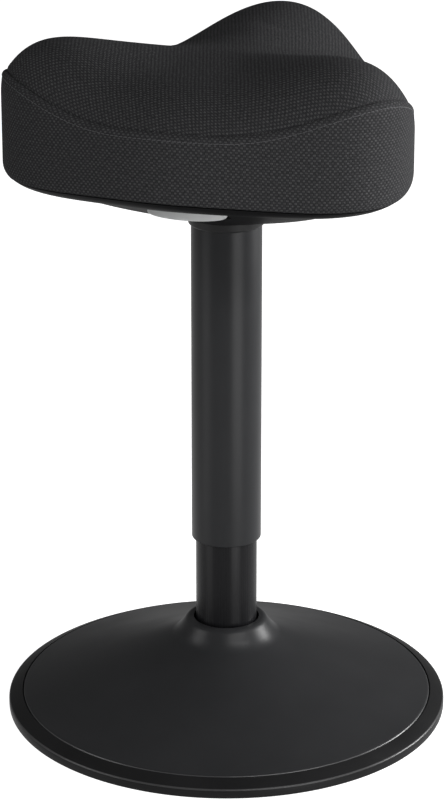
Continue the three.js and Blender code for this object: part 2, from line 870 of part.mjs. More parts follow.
// The paddle's plan, grown by a margin: a bowed outer wall, straight sides and cut inner corners.
function paddleOutline(margin) {
  const half = paddleHalfWidth + margin;
  const inner = -paddleReach + paddleDepth + margin;
  const corner = paddleCorner;
  const outline = [
    [half, inner - corner],
    [half - corner, inner],
    [corner - half, inner],
    [-half, inner - corner],
  ];
  for (let i = 0; i <= paddleSteps; i += 1) {
    const across = -Math.cos((Math.PI * i) / paddleSteps);
    const bow = paddleBow * (1 - Math.sqrt(1 - (paddleBowShare * across) ** 2));
    outline.push([half * across, bow - paddleReach - margin]);
  }
  return outline;
}

// Release lever: the paddle under the seat, its arm to the valve pin, the pin and the return spring.
function addLever() {
  const bottom = hubHeight + paddleRise;
  const top = bottom + paddleHeight;
  const pocket = block(
    [-armHalfWidth - gap, -armBack - gap, armBottom - gap],
    [armHalfWidth + gap, 0, armTop + gap],
  );
  add("release_paddle", cut(raised(paddleOutline(0), bottom, top), [pocket]), greyPlastic);
  const strip = block([-armHalfWidth, -armBack, armBottom], [armHalfWidth, armFront, armTop]);
  const hub = crossRod(pinHubRadius, channelHalfWidth - 2 * gap);
  const pinHole = crossRod(pinRadius + gap, channelHalfWidth + overrun);
  add("release_arm", cut(join(strip, [hub]), [pinHole]), darkSteel);
  add("arm_pin", crossRod(pinRadius, channelHalfWidth + plateSheet + pinOverhang), bareSteel);
  addSpring(armTop + gap, plateBottom - gap);
}

// A helix of round wire that stands between the arm and the plate.
function addSpring(bottom, top) {
  class Helix extends THREE.Curve {
    getPoint(share, target = new THREE.Vector3()) {
      const angle = 2 * Math.PI * springTurns * share;
      const height = THREE.MathUtils.lerp(bottom + springWire, top - springWire, share);
      return target.set(
        springRadius * Math.cos(angle),
        springRadius * Math.sin(angle) - springBack,
        height,
      );
    }
  }
  const section = new THREE.Shape(
    Array.from({ length: springSides }, (_, i) => {
      const angle = (2 * Math.PI * i) / springSides;
      return new THREE.Vector2(springWire * Math.cos(angle) / 2, springWire * Math.sin(angle) / 2);
    }),
  );
  const options = { steps: springTurns * springSteps, extrudePath: new Helix() };
  add("arm_spring", welded(new THREE.ExtrudeGeometry(section, options)), bareSteel);
}

addRim();
addBaseShell();
addBallast();
addBottomCover();
addGuideTube();
addBearing();
addRod();
addCylinder();
addSleeve();
addTaperSocket();
addSeatPlate();
addPlateBolts();
addBoard();
addFoam();
addCovers();
addUnderShell();
addLever();

export default group;
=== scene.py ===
"""The looks of a perch stool: black trumpet base, telescoping column and a padded three-lobed seat.

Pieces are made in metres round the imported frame, in the order in which the stool is put together.
The seat's front lobe points along +Y, and the column stands on the origin."""

import math

import bmesh
import bpy
import numpy as np
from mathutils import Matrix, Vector, kdtree


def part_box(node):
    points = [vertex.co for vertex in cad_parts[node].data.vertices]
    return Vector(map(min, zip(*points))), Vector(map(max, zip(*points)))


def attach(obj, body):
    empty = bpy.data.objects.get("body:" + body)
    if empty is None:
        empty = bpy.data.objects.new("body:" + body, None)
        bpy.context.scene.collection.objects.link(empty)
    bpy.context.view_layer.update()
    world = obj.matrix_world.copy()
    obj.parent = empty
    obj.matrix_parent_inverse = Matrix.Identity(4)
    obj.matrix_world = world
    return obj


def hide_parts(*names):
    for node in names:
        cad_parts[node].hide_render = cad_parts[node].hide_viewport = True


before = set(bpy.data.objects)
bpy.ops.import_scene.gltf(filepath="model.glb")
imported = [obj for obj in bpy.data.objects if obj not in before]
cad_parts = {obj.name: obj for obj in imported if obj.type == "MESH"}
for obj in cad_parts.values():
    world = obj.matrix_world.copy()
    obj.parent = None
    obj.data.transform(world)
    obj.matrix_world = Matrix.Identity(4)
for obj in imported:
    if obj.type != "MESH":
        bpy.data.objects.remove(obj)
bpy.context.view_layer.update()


# Rim: a moulded rubber ring, matt and slightly dusty, that the stool stands on. Its wall is upright
# and its top slopes up to the cover's edge, where a narrow step leaves a fine dark line.
def node(tree, kind, sockets=None, **settings):
    """A shader or geometry node, its settings made, its sockets given a value or linked."""
    made = tree.nodes.new(kind)
    for name, value in settings.items():
        setattr(made, name, value)
    for name, value in (sockets or {}).items():
        if isinstance(value, bpy.types.NodeSocket):
            tree.links.new(value, made.inputs[name])
        else:
            made.inputs[name].default_value = value
    return made


def calc(tree, operation, *values):
    """The result of a math node on numbers or sockets."""
    return node(tree, "ShaderNodeMath", dict(enumerate(values)), operation=operation).outputs[0]


def ranged(tree, value, start, end=(0.0, 1.0)):
    """A value carried from the start range to the end range and held at its limits."""
    labels = "Value", "From Min", "From Max", "To Min", "To Max"
    sockets = dict(zip(labels, (value, *start, *end)))
    return node(tree, "ShaderNodeMapRange", sockets).outputs["Result"]


def vector_calc(tree, operation, sockets):
    """The resulting vector of a vector math node."""
    return node(tree, "ShaderNodeVectorMath", sockets, operation=operation).outputs["Vector"]


def noise(tree, where, scale, detail, roughness=0.5):
    """The value of a noise texture."""
    sockets = {"Vector": where, "Scale": scale, "Detail": detail, "Roughness": roughness}
    return node(tree, "ShaderNodeTexNoise", sockets).outputs["Fac"]


def new_group(name, kind, inputs, outputs):
    """An empty node group with its inner inputs and outputs. Names of sockets are given by kind."""
    tree = bpy.data.node_groups.new(name, kind)
    for side, kinds in (("INPUT", inputs), ("OUTPUT", outputs)):
        for socket, labels in kinds.items():
            for label in labels:
                tree.interface.new_socket(label, in_out=side, socket_type="NodeSocket" + socket)
    return tree, tree.nodes.new("NodeGroupInput").outputs, tree.nodes.new("NodeGroupOutput").inputs


def new_surface_group(name, inputs):
    """A shader group that gives a surface its colour, gloss and bumps."""
    outputs = {"Color": ["Color"], "Float": ["Roughness"], "Vector": ["Normal"]}
    return new_group(name, "ShaderNodeTree", inputs, outputs)


def end_surface_group(tree, result, tone, gloss, bumps):
    """Leads tone, gloss and bumps out of a group. bumps holds the sockets of the bump node."""
    bump = node(tree, "ShaderNodeBump", bumps).outputs["Normal"]
    for name, value in (("Color", tone), ("Roughness", gloss), ("Normal", bump)):
        tree.links.new(value, result[name])


def make_skin_group():
    """Grain of a moulded or coated surface: tone that drifts, fine bumps and uneven gloss."""
    numbers = ["Drift", "Gloss Low", "Gloss High", "Grain Scale", "Grain Depth"]
    tree, given, result = new_surface_group("moulded_skin", {"Color": ["Tone"], "Float": numbers})
    where = node(tree, "ShaderNodeTexCoord").outputs["Object"]
    broad = noise(tree, where, 22.0, 4.0)
    fine = noise(tree, where, given["Grain Scale"], 2.0, 0.6)
    middle = (0.3, 0.7)
    swing = calc(tree, "MULTIPLY", ranged(tree, broad, middle, (-1.0, 1.0)), given["Drift"])
    tone = vector_calc(tree, "SCALE", {0: given["Tone"], "Scale": calc(tree, "ADD", swing, 1.0)})
    gloss = ranged(tree, broad, middle, (given["Gloss Low"], given["Gloss High"]))
    bumps = {"Strength": given["Grain Depth"], "Distance": 0.0004, "Height": fine}
    end_surface_group(tree, result, tone, gloss, bumps)
    return tree


skin_group = make_skin_group()


def new_material(name, surface):
    """A material with values for its shader, its node tree and that shader."""
    material = bpy.data.materials.new(name)
    material.use_nodes = True
    shader = material.node_tree.nodes["Principled BSDF"]
    for socket, value in surface.items():
        shader.inputs[socket].default_value = value
    return material, material.node_tree, shader


def group_material(name, group, tone, inputs, surface):
    """A material that takes its colour, gloss and bumps from a node group with its inputs set."""
    material, tree, shader = new_material(name, surface)
    skin = node(tree, "ShaderNodeGroup", inputs, node_tree=group)
    for output, socket in (("Color", "Base Color"), ("Roughness", "Roughness"), ("Normal", "Normal")):
        tree.links.new(skin.outputs[output], shader.inputs[socket])
    material.diffuse_color = (*tone, 1.0)
    return material


def skin_material(name, tone, gloss, grain, drift=0.1, metallic=0.0, specular=0.5):
    """A moulded, coated or machined surface. gloss is (low, high) roughness, grain (scale, depth)."""
    inputs = {"Tone": (*tone, 1.0), "Drift": drift, "Gloss Low": gloss[0], "Gloss High": gloss[1]}
    inputs |= {"Grain Scale": grain[0], "Grain Depth": grain[1]}
    surface = {"Metallic": metallic, "Specular IOR Level": specular}
    return group_material(name, skin_group, tone, inputs, surface)


def rounded(corners, steps=5):
    """The closed outline through (radius, height, fillet) corners, each drawn as a small curve."""
    path = []
    for i, (radius, height, fillet) in enumerate(corners):
        here = np.array([radius, height])
        before = np.array(corners[i - 1][:2]) - here
        after = np.array(corners[(i + 1) % len(corners)][:2]) - here
        reach = min(fillet, 0.49 * np.linalg.norm(before), 0.49 * np.linalg.norm(after))
        start = here + before / np.linalg.norm(before) * reach
        end = here + after / np.linalg.norm(after) * reach
        for share in np.linspace(0, 1, steps if fillet else 1):
            path.append((1 - share) ** 2 * start + 2 * share * (1 - share) * here + share**2 * end)
    return np.array(path)


def face_corners(columns, rows):
    """The corners of each face of a grid, as four pairs of column and row numbers."""
    grid = np.meshgrid(np.arange(columns), np.arange(rows), indexing="ij")
    column, row = grid[0].ravel(), grid[1].ravel()
    return (column, row), (column + 1, row), (column + 1, row + 1), (column, row + 1)


def join_up(mesh):
    """Joins points that lie on each other and turns all faces outwards."""
    body = bmesh.new()
    body.from_mesh(mesh)
    bmesh.ops.remove_doubles(body, verts=body.verts, dist=1e-7)
    bmesh.ops.recalc_face_normals(body, faces=body.faces)
    body.to_mesh(mesh)
    body.free()


def shade(mesh, degrees):
    """Smooth shading, sharp where faces meet at more than an angle."""
    mesh.shade_smooth()
    mesh.set_sharp_from_angle(angle=math.radians(degrees))


def mesh_from_grid(name, points, closed_rows):
    """A mesh from points[column, row], closed round the columns and, if asked, round the rows."""
    columns, rows = points.shape[:2]
    corners = face_corners(columns, rows if closed_rows else rows - 1)
    faces = np.stack([column % columns * rows + row % rows for column, row in corners], axis=1)
    mesh = bpy.data.meshes.new(name)
    mesh.from_pydata(points.reshape(-1, 3).tolist(), [], faces.tolist())
    join_up(mesh)
    shade(mesh, 38)
    return mesh


def turned(name, outline, turns=192):
    """A piece turned about the column: its outline of (radius, height) points is closed on itself."""
    angle = np.linspace(0, 2 * math.pi, turns, endpoint=False)
    outline = np.asarray(outline)
    points = np.empty((turns, len(outline), 3))
    points[:, :, 0] = np.outer(np.cos(angle), outline[:, 0])
    points[:, :, 1] = np.outer(np.sin(angle), outline[:, 0])
    points[:, :, 2] = outline[:, 1]
    return mesh_from_grid(name, points, closed_rows=True)


def new_object(name, data):
    """A mesh, lamp or camera put in the scene."""
    item = bpy.data.objects.new(name, data)
    bpy.context.scene.collection.objects.link(item)
    return item


def place(name, mesh, materials, body, slot, *nodes):
    """The finished piece: in the scene, with its finish, riding on its body, standing for its nodes."""
    piece = new_object(name, mesh)
    if mesh.materials:
        mesh.materials.clear()
    for material in materials:
        mesh.materials.append(material)
    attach(piece, body)
    if nodes:
        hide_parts(*nodes)
    return piece


rubber = skin_material("rim_rubber", (0.014, 0.014, 0.0145), (0.36, 0.44), (900.0, 0.2), specular=0.12)
rim_low, rim_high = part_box("rim_ring")
rim_wall = rim_low.z + 0.00775
rim_line = rim_high.x - 0.0114
rim_inner = rim_high.x - 0.0279
rim_top = rim_low.z + 0.0134
rim_ledge = rim_top - 0.0030
rim_outline = rounded([
    (rim_inner, rim_low.z, 0.0006),
    (rim_high.x, rim_low.z, 0.0019),
    (rim_high.x, rim_wall, 0.0012),
    (rim_line, rim_top, 0.0005),
    (rim_line, rim_ledge, 0.0),
    (rim_inner, rim_high.z, 0.0006),
])


def paint_highlight_band(mesh, inner, outer, low, high):
    """Gives the faces between two radii and two heights the second finish: a lighter, glossier one that
    paints a highlight along an edge.
    """
    for face in mesh.polygons:
        radius = math.hypot(face.center.x, face.center.y)
        if inner < radius < outer and low < face.center.z < high:
            face.material_index = 1


# Painted highlight: a lighter, glossier rubber on a narrow band round the corner where the rim's wall
# meets its top, where light catches the edge.
rim_highlight_rubber = skin_material("rim_painted_highlight", (0.05, 0.05, 0.051), (0.3, 0.36), (900.0, 0.1), specular=0.3)
rim_mesh = turned("rim", rim_outline, 256)
rim_painted_highlight = 0.0009
paint_highlight_band(rim_mesh, rim_high.x - rim_painted_highlight, rim_high.x, rim_wall - rim_painted_highlight, rim_wall + rim_painted_highlight)
place("rim", rim_mesh, [rubber, rim_highlight_rubber], "base", "rim_rubber", "rim_ring")


# Base cover: one sheet of steel pressed to a trumpet, its lip rolled flat round the column, with a
# satin black powder coat whose fine orange peel catches the light.
base_paint = skin_material(
    "base_paint", (0.026, 0.0264, 0.0278), (0.33, 0.39), (420.0, 0.06), drift=0.06, specular=0.16
)
clearance = 0.0003


def curve_through(start, bend, end, steps):
    """Points from start to end, pulled towards bend."""
    share = np.linspace(0, 1, steps)[:, None]
    start, bend, end = (np.array(point) for point in (start, bend, end))
    return (1 - share) ** 2 * start + 2 * share * (1 - share) * bend + share**2 * end


def beside(path, distance):
    """The path moved to its left by a distance."""
    along = np.gradient(path, axis=0)
    along /= np.linalg.norm(along, axis=1)[:, None]
    return path + np.stack([-along[:, 1], along[:, 0]], axis=1) * distance


def base_cover_outline():
    """The pressed sheet's outline: up over its turned edge, the bell, the boss and the lip, and back."""
    sheet, mouth, lip = 0.0025, 0.02685, 0.0295
    lip_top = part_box("base_shell")[1].z
    edge = rim_line - clearance
    edge_bend, edge_top = (edge, rim_top + 0.0002), (edge - 0.0026, rim_top + 0.0008)
    bell_bend, bell_top, fillet_bend = (0.076, 0.0434), (0.046, 0.0599), (0.0412, 0.0625)
    flank_low, flank_high, crown_bend = (0.0370, 0.0688), (0.0343, 0.07285), (0.0321, lip_top)
    turned_edge = curve_through((edge, rim_ledge), edge_bend, edge_top, 9)
    bell = curve_through(turned_edge[-1], bell_bend, bell_top, 40)
    fillet = curve_through(bell_top, fillet_bend, flank_low, 14)
    crown = curve_through(flank_high, crown_bend, (lip, lip_top), 12)
    flat = np.linspace((lip, lip_top), (mouth, lip_top), 4)
    outside = np.concatenate([turned_edge[:-1], bell, fillet[1:], crown, flat[1:]])
    inside = beside(outside, sheet)[::-1]
    inside[0] = (mouth, lip_top - sheet)
    return np.concatenate([outside, inside])


# Painted highlight: a lighter, glossier coat on a narrow band of the cover's turned edge, drawn as the
# fine bright line where light catches it.
cover_highlight_paint = skin_material("cover_painted_highlight", (0.07, 0.07, 0.072), (0.3, 0.36), (420.0, 0.04), specular=0.4)
cover_mesh = turned("base_cover", base_cover_outline(), 256)
cover_painted_highlight = 0.0013
band_low, band_high = rim_top - 0.0005, rim_top + 0.002
paint_highlight_band(cover_mesh, rim_line - cover_painted_highlight, rim_line, band_low, band_high)
place("base_cover", cover_mesh, [base_paint, cover_highlight_paint], "base", "base_paint", "base_shell")


# Inside and under the base: a steel weight with a turned socket for the column, closed by a thin
# ribbed plastic cover that four cross-head screws hold.
dark_steel = skin_material("black_oxide", (0.05, 0.05, 0.055), (0.4, 0.55), (700.0, 0.12), metallic=0.6)
bare_steel = skin_material("zinc_plate", (0.55, 0.55, 0.56), (0.25, 0.38), (900.0, 0.06), metallic=1.0)
black_plastic = skin_material(
    "black_plastic", (0.018, 0.018, 0.0185), (0.38, 0.45), (1400.0, 0.12), specular=0.18
)


def dress(material, *names):
    """Gives CAD pieces that keep their own solid their finish."""
    for name in names:
        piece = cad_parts[name]
        piece.data.materials.clear()
        piece.data.materials.append(material)


dress(dark_steel, "ballast_plate", "base_socket")


def bottom_cover_outline():
    """A thin disc with rings of low ribs on its underside."""
    low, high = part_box("bottom_cover")
    rib, rib_rise, first_rib, rib_pitch = 0.0022, 0.0006, 0.03, 0.02
    plain_edge, chamfer = 0.012, 0.001
    path = [(0.0, low.z)]
    for ring in np.arange(first_rib, high.x - plain_edge, rib_pitch):
        path += [(ring - rib, low.z), (ring - rib / 2, low.z - rib_rise)]
        path += [(ring + rib / 2, low.z - rib_rise), (ring + rib, low.z)]
    return path + [(high.x - chamfer, low.z), (high.x, low.z + chamfer), (high.x, high.z), (0.0, high.z)]


def plain_mesh(body):
    """The evaluated object as a mesh of its own."""
    evaluated = body.evaluated_get(bpy.context.evaluated_depsgraph_get())
    return bpy.data.meshes.new_from_object(evaluated)


def cut_away(mesh, tools):
    """The mesh with the tool meshes taken out of it."""
    body = new_object("blank", mesh)
    cutters = [new_object("cutter", tool) for tool in tools]
    for cutter in cutters:
        cut = body.modifiers.new("cut", "BOOLEAN")
        cut.operation = "DIFFERENCE"
        cut.object = cutter
        cut.solver = "EXACT"
    result = plain_mesh(body)
    for item in [*cutters, body]:
        bpy.data.objects.remove(item)
    result.set_sharp_from_angle(angle=math.radians(32))
    return result


def prism(outline, bottom, top, name="prism"):
    """A flat outline of (x, y) points raised from one height to another."""
    mesh = bpy.data.meshes.new(name)
    body = bmesh.new()
    face = body.faces.new([body.verts.new((x, y, bottom)) for x, y in outline])
    raised = bmesh.ops.extrude_face_region(body, geom=[face])
    top_corners = [item for item in raised["geom"] if isinstance(item, bmesh.types.BMVert)]
    bmesh.ops.translate(body, vec=(0, 0, top - bottom), verts=top_corners)
    bmesh.ops.recalc_face_normals(body, faces=body.faces)
    body.to_mesh(mesh)
    body.free()
    return mesh


def on_circle(radius, count, first_angle=0.0, centre=(0.0, 0.0)):
    """Points (x, y) evenly spaced on a circle, counted from its +Y side."""
    turns = [first_angle + 2 * math.pi * i / count for i in range(count)]
    return [(centre[0] + radius * math.sin(turn), centre[1] + radius * math.cos(turn)) for turn in turns]


def pegs(radius, bottom, top, centres):
    """Upright cylinders."""
    return [prism(on_circle(radius, 48, centre=centre), bottom, top) for centre in centres]


def screw_mesh(head_radius, head_height, shank_radius, length):
    """A cross-head screw, head down: its head's flat seat is at height 0 and the shank points up."""
    outline = [
        (0.0, -head_height),
        (head_radius * 0.55, -head_height),
        (head_radius * 0.86, -head_height * 0.72),
        (head_radius, -head_height * 0.25),
        (head_radius, 0.0),
        (shank_radius, 0.0),
        (shank_radius, length),
        (0.0, length),
    ]
    blades = []
    long, thin = head_radius * 0.55, head_radius * 0.12
    for x, y in ((long, thin), (thin, long)):
        blade = [(-x, -y), (x, -y), (x, y), (-x, y)]
        blades.append(prism(blade, -head_height * 1.6, -head_height * 0.6))
    return cut_away(turned("screw", outline, 32), blades)


def make_scatter_tree(name, inputs):
    """A geometry tree that takes a mesh, an object to copy and a finish, besides the given inputs."""
    inputs = {"Geometry": ["Geometry"], "Object": ["Copy"], "Material": ["Finish"], **inputs}
    return new_group(name, "GeometryNodeTree", inputs, {"Geometry": ["Geometry"]})


def end_scatter_tree(tree, given, result, points, rotation):
    """Puts the copies on points, makes them real and gives them their finish."""
    copied = node(tree, "GeometryNodeObjectInfo", {"Object": given["Copy"]}).outputs["Geometry"]
    sockets = {"Points": points, "Instance": copied, "Rotation": rotation}
    copies = node(tree, "GeometryNodeInstanceOnPoints", sockets).outputs[0]
    real = node(tree, "GeometryNodeRealizeInstances", {"Geometry": copies}).outputs[0]
    done = node(tree, "GeometryNodeSetMaterial", {"Geometry": real, "Material": given["Finish"]})
    tree.links.new(done.outputs[0], result["Geometry"])


def make_ring_of_tree():
    """Copies of one object, evenly spaced on a circle at a height, made real."""
    inputs = {"Int": ["Count"], "Float": ["Circle", "Height", "First Angle"]}
    tree, given, result = make_scatter_tree("ring_of_copies", inputs)
    spots = node(tree, "GeometryNodePoints", {"Count": given["Count"]}).outputs[0]
    index = node(tree, "GeometryNodeInputIndex").outputs["Index"]
    turn = calc(tree, "DIVIDE", index, given["Count"])
    angle = calc(tree, "MULTIPLY_ADD", turn, 2 * math.pi, given["First Angle"])
    x = calc(tree, "MULTIPLY", calc(tree, "SINE", angle), given["Circle"])
    y = calc(tree, "MULTIPLY", calc(tree, "COSINE", angle), given["Circle"])
    spot = node(tree, "ShaderNodeCombineXYZ", {"X": x, "Y": y, "Z": given["Height"]}).outputs[0]
    moved = node(tree, "GeometryNodeSetPosition", {"Geometry": spots, "Position": spot}).outputs[0]
    turned_by = node(tree, "ShaderNodeCombineXYZ", {"Z": angle}).outputs[0]
    end_scatter_tree(tree, given, result, moved, turned_by)
    return tree


def scatter(tree, mesh, copied, values):
    """Runs a geometry tree that puts copies of one mesh on another, and returns the plain result."""
    pattern, body = new_object("pattern", copied), new_object("nodes", mesh)
    modifier = body.modifiers.new("nodes", "NODES")
    modifier.node_group = tree
    sockets = {item.name: item.identifier for item in tree.interface.items_tree if item.in_out == "INPUT"}
    for label, value in {"Copy": pattern, **values}.items():
        modifier[sockets[label]] = value
    result = plain_mesh(body)
    body.modifiers.remove(modifier)
    for item in (body, pattern):
        bpy.data.objects.remove(item)
    return result


ring_of_tree = make_ring_of_tree()


def ring_of(copied, count, circle, height, first_angle, finish):
    """Copies of a mesh, evenly spaced on a circle, as one mesh."""
    values = {"Count": count, "Circle": circle, "Height": height}
    values |= {"First Angle": first_angle, "Finish": finish}
    mesh = scatter(ring_of_tree, bpy.data.meshes.new("empty"), copied, values)
    shade(mesh, 32)
    return mesh


cover_low, cover_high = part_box("bottom_cover")
cover_screw_circle, first_screw = 0.130, math.pi / 4
screw_head, screw_shank, screw_hole, overrun = 0.0042, 0.0019, 0.0023, 0.01
cover_screw_places = on_circle(cover_screw_circle, 4, first_screw)
cover_holes = pegs(screw_hole, cover_low.z - overrun, cover_high.z + overrun, cover_screw_places)
bottom_mesh = cut_away(turned("bottom_cover", bottom_cover_outline(), 160), cover_holes)
place("underside_cover", bottom_mesh, [black_plastic], "base", "black_plastic", "bottom_cover")
flat_head = 0.0009
cover_screw_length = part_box("cover_screw_1")[1].z - cover_low.z + clearance
cover_screw = screw_mesh(screw_head, flat_head, screw_shank, cover_screw_length)
screws = ring_of(cover_screw, 4, cover_screw_circle, cover_low.z - clearance, first_screw, bare_steel)
screw_nodes = [f"cover_screw_{number}" for number in range(1, 5)]
place("cover_screws", screws, [bare_steel], "base", "bare_steel", *screw_nodes)


# Guide tube: drawn steel tube in a glossier black than the rest, with faint upright streaks where the
# sleeve has slid over it. Its bush, glide and bearing parts are plastic and steel, out of sight.
def drawn_out_noise(tree, scale, detail):
    """Noise drawn out along the axes of the object's own space."""
    where = node(tree, "ShaderNodeTexCoord").outputs["Object"]
    long = node(tree, "ShaderNodeMapping", {"Vector": where, "Scale": scale}).outputs[0]
    return noise(tree, long, 1.0, detail)


def streaked_paint():
    """Gloss black with fine upright rub marks."""
    material = skin_material(
        "tube_paint", (0.0095, 0.0095, 0.0105), (0.2, 0.27), (300.0, 0.02), drift=0.05, specular=0.17
    )
    tree = material.node_tree
    streaks = drawn_out_noise(tree, (900.0, 900.0, 6.0), 3.0)
    gloss = ranged(tree, streaks, (0.35, 0.75), (0.2, 0.34))
    tree.links.new(gloss, tree.nodes["Principled BSDF"].inputs["Roughness"])
    return material


def tube_outline(box, wall, fillets):
    """A tube's outline in its box, with a fillet for each corner from the bore's foot round."""
    low, high = box
    bore = high.x - wall
    corners = (bore, low.z), (high.x, low.z), (high.x, high.z), (bore, high.z)
    return rounded([(*corner, fillet) for corner, fillet in zip(corners, fillets)])


tube_paint = streaked_paint()
tube_wall, tube_fillets = 0.0016, (0.0003, 0.0004, 0.0005, 0.0003)
lower_tube = tube_outline(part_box("guide_tube"), tube_wall, tube_fillets)
place("lower_tube", turned("lower_tube", lower_tube), [tube_paint], "base", "tube_paint", "guide_tube")

natural_plastic = skin_material("natural_plastic", (0.62, 0.61, 0.56), (0.4, 0.5), (800.0, 0.08))
chrome = skin_material("hard_chrome", (0.72, 0.72, 0.73), (0.05, 0.09), (500.0, 0.01), metallic=1.0)
dress(natural_plastic, "guide_bush", "tube_glide", "bearing_cage")
dress(bare_steel, "bearing_washer_lower", "bearing_washer_upper", "piston_nut")
dress(rubber, "bump_stop", "rod_seal")
dress(dark_steel, "rod_clip", "piston")
dress(chrome, "piston_rod")


# Sleeve: the outer cover tube, satin powder coat over steel, its lower end turned in and rounded
# over a black plastic liner that rides on the guide tube.
sleeve_paint = skin_material(
    "sleeve_paint", (0.023, 0.0235, 0.025), (0.28, 0.34), (520.0, 0.06), drift=0.05, specular=0.21
)
sleeve_wall, sleeve_fillets = 0.0015, (0.0004, 0.0011, 0.0003, 0.0003)
liner_wall, liner_fillets = 0.0012, (0.0003, 0.0003, 0.0, 0.0)
sleeve = tube_outline(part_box("sleeve"), sleeve_wall, sleeve_fillets)
place("outer_sleeve", turned("outer_sleeve", sleeve), [sleeve_paint], "seat", "sleeve_paint", "sleeve")
liner = tube_outline(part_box("sleeve_liner"), liner_wall, liner_fillets)
place("liner", turned("liner", liner), [black_plastic], "seat", "black_plastic", "sleeve_liner")


# Collar: a ring of fine-grained black plastic, moulded in one piece. It slips over the sleeve's top
# and hides it, and its flange is held above the bowl's hub.
collar_low, collar_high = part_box("collar")
collar_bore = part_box("sleeve")[1].x + clearance
collar_neck = collar_bore + 0.0024
hub_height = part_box("under_shell")[0].z
collar_flange = collar_high.z - 0.0016
lip_wall, lip_reach, lip_rise = 0.0006, 0.0019, 0.0011
collar_outline = rounded([
    (collar_bore, collar_low.z, 0.0003),
    (collar_bore + lip_wall, collar_low.z, 0.0003),
    (collar_bore + lip_reach, collar_low.z + lip_rise, 0.0006),
    (collar_neck, hub_height - clearance, 0.0004),
    (collar_neck, collar_flange, 0.0003),
    (collar_high.x, collar_flange, 0.0003),
    (collar_high.x, collar_high.z, 0.0003),
    (collar_bore, collar_high.z, 0.0003),
])
collar = turned("neck_collar", collar_outline)
place("neck_collar", collar, [black_plastic], "seat", "black_plastic", "collar")


# Mechanism: gas cylinder, taper socket, pressed seat plate with its bolts and nuts, plywood board,
# and the release arm with its pin and spring. All of it is closed in by the bowl and the cushion.
def mix_tones(tree, factor, first, second):
    """A colour between two, which are the mix node's sockets 6 and 7."""
    sockets = {"Factor": factor, 6: first, 7: second}
    return node(tree, "ShaderNodeMix", sockets, data_type="RGBA").outputs[2]


def plywood():
    """Raw plywood: long pale grain, darker thin lines."""
    material = skin_material("board_plywood", (0.47, 0.29, 0.13), (0.6, 0.75), (600.0, 0.15), drift=0.15)
    tree = material.node_tree
    grain = drawn_out_noise(tree, (300.0, 12.0, 300.0), 5.0)
    tint = mix_tones(tree, grain, (0.6, 0.4, 0.2, 1.0), (0.33, 0.18, 0.07, 1.0))
    tree.links.new(tint, tree.nodes["Principled BSDF"].inputs["Base Color"])
    return material


dress(bare_steel, "gas_cylinder", "release_button", "arm_pin", "arm_spring")
dress(bare_steel, *(f"{kind}_{number}" for kind in ("plate_bolt", "tee_nut") for number in range(1, 5)))
dress(dark_steel, "taper_socket", "seat_plate", "release_arm")
dress(plywood(), "seat_board")


# Seat form: the outline seen from above, the stitch line, the rolled lower edge and the crown all
# follow waves round the seat, measured from the bowl's hub and from the front lobe.
columns = 360
angle = np.linspace(0, 2 * math.pi, columns, endpoint=False)


def wave(mean, forward, twofold, threefold, sixfold=0.0, at=angle):
    """A measure that varies round the seat, as a sum of waves counted from the front lobe."""
    broad = mean + forward * np.cos(at) + twofold * np.cos(2 * at)
    return broad + threefold * np.cos(3 * at) + sixfold * np.cos(6 * at)


def seat_outline(at=angle):
    return wave(0.15723, -0.00825, 0.00434, 0.01436, 0.00346, at)


def stitch_height(at=angle):
    return hub_height + wave(0.10108, -0.0035, 0.00799, 0.01634, 0.00435, at)


roll_inset = 0.034


def hem_turn(at=angle):
    """How far up the rolled lower edge the cloth ends, from 0 at the bowl's slope to a quarter turn."""
    return wave(0.885, -0.37, 0.085, 0.0, 0.0, at)


def rolled_edge(turn, inset=0.0, depth=0.0, at=angle):
    """Radius and height on the rolled lower edge at a turn: inset narrows it, depth goes inwards."""
    rise = wave(0.020, 0.004, 0.0, 0.0, 0.0, at)
    knee = hub_height + wave(0.03772, -0.00122, -0.00024, -0.00235, 0.0, at)
    fullness = 2.4 - 0.36 * np.maximum(-np.cos(at), 0) ** 4
    across = np.maximum(np.sin(turn), 1e-6) ** (2 / fullness)
    down = np.maximum(np.cos(turn), 1e-6) ** (2 / fullness)
    out, low = across ** (fullness - 1) / roll_inset, down ** (fullness - 1) / rise
    length = np.hypot(out, low)
    radius = seat_outline(at) - roll_inset + (roll_inset - inset) * across
    return radius - out / length * depth, knee + rise * (1 - down) + low / length * depth


def round_seat(radii, heights, at=angle):
    """Points [column, row] from rows of radius and height at each angle from the front lobe."""
    radii, heights = np.asarray(radii).T, np.asarray(heights).T
    return np.stack([-radii * np.sin(at)[:, None], radii * np.cos(at)[:, None], heights], axis=2)


# Bowl: the moulded plastic shell under the seat, fine-grained black, 3 mm thick. It swells from the
# hub and rolls up to meet the cloth, with three deep-set screws and a window for the release paddle.
bowl_plastic = skin_material(
    "bowl_plastic", (0.010, 0.010, 0.0105), (0.42, 0.5), (1300.0, 0.12), specular=0.02
)


def paddle_plan(margin, steps=48):
    """The paddle seen from above: half an ellipse outside, a straight inner edge, rounded corners."""
    half, reach, bow, inner = 0.031 + margin, 0.1173 + margin, 0.017, -0.088 + margin
    bow_share = 0.98
    across = -np.cos(np.linspace(0, math.pi, steps))
    outer = np.stack([half * across, bow * (1 - np.sqrt(1 - (bow_share * across) ** 2)) - reach], axis=1)
    corner = 0.005
    right = curve_through((half, inner - corner), (half, inner), (half - corner, inner), 8)
    left = curve_through((corner - half, inner), (-half, inner), (-half, inner - corner), 8)
    return np.concatenate([outer, right, left])


bowl_hub = collar_neck + clearance
bowl_wall, rim_step, window_gap = 0.003, 0.0006, 0.0008
board_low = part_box("seat_board")[0].z
boss_circle = 0.098
boss_seat = hub_height + 0.034
boss_bore, boss_wall = 0.005, 0.0065


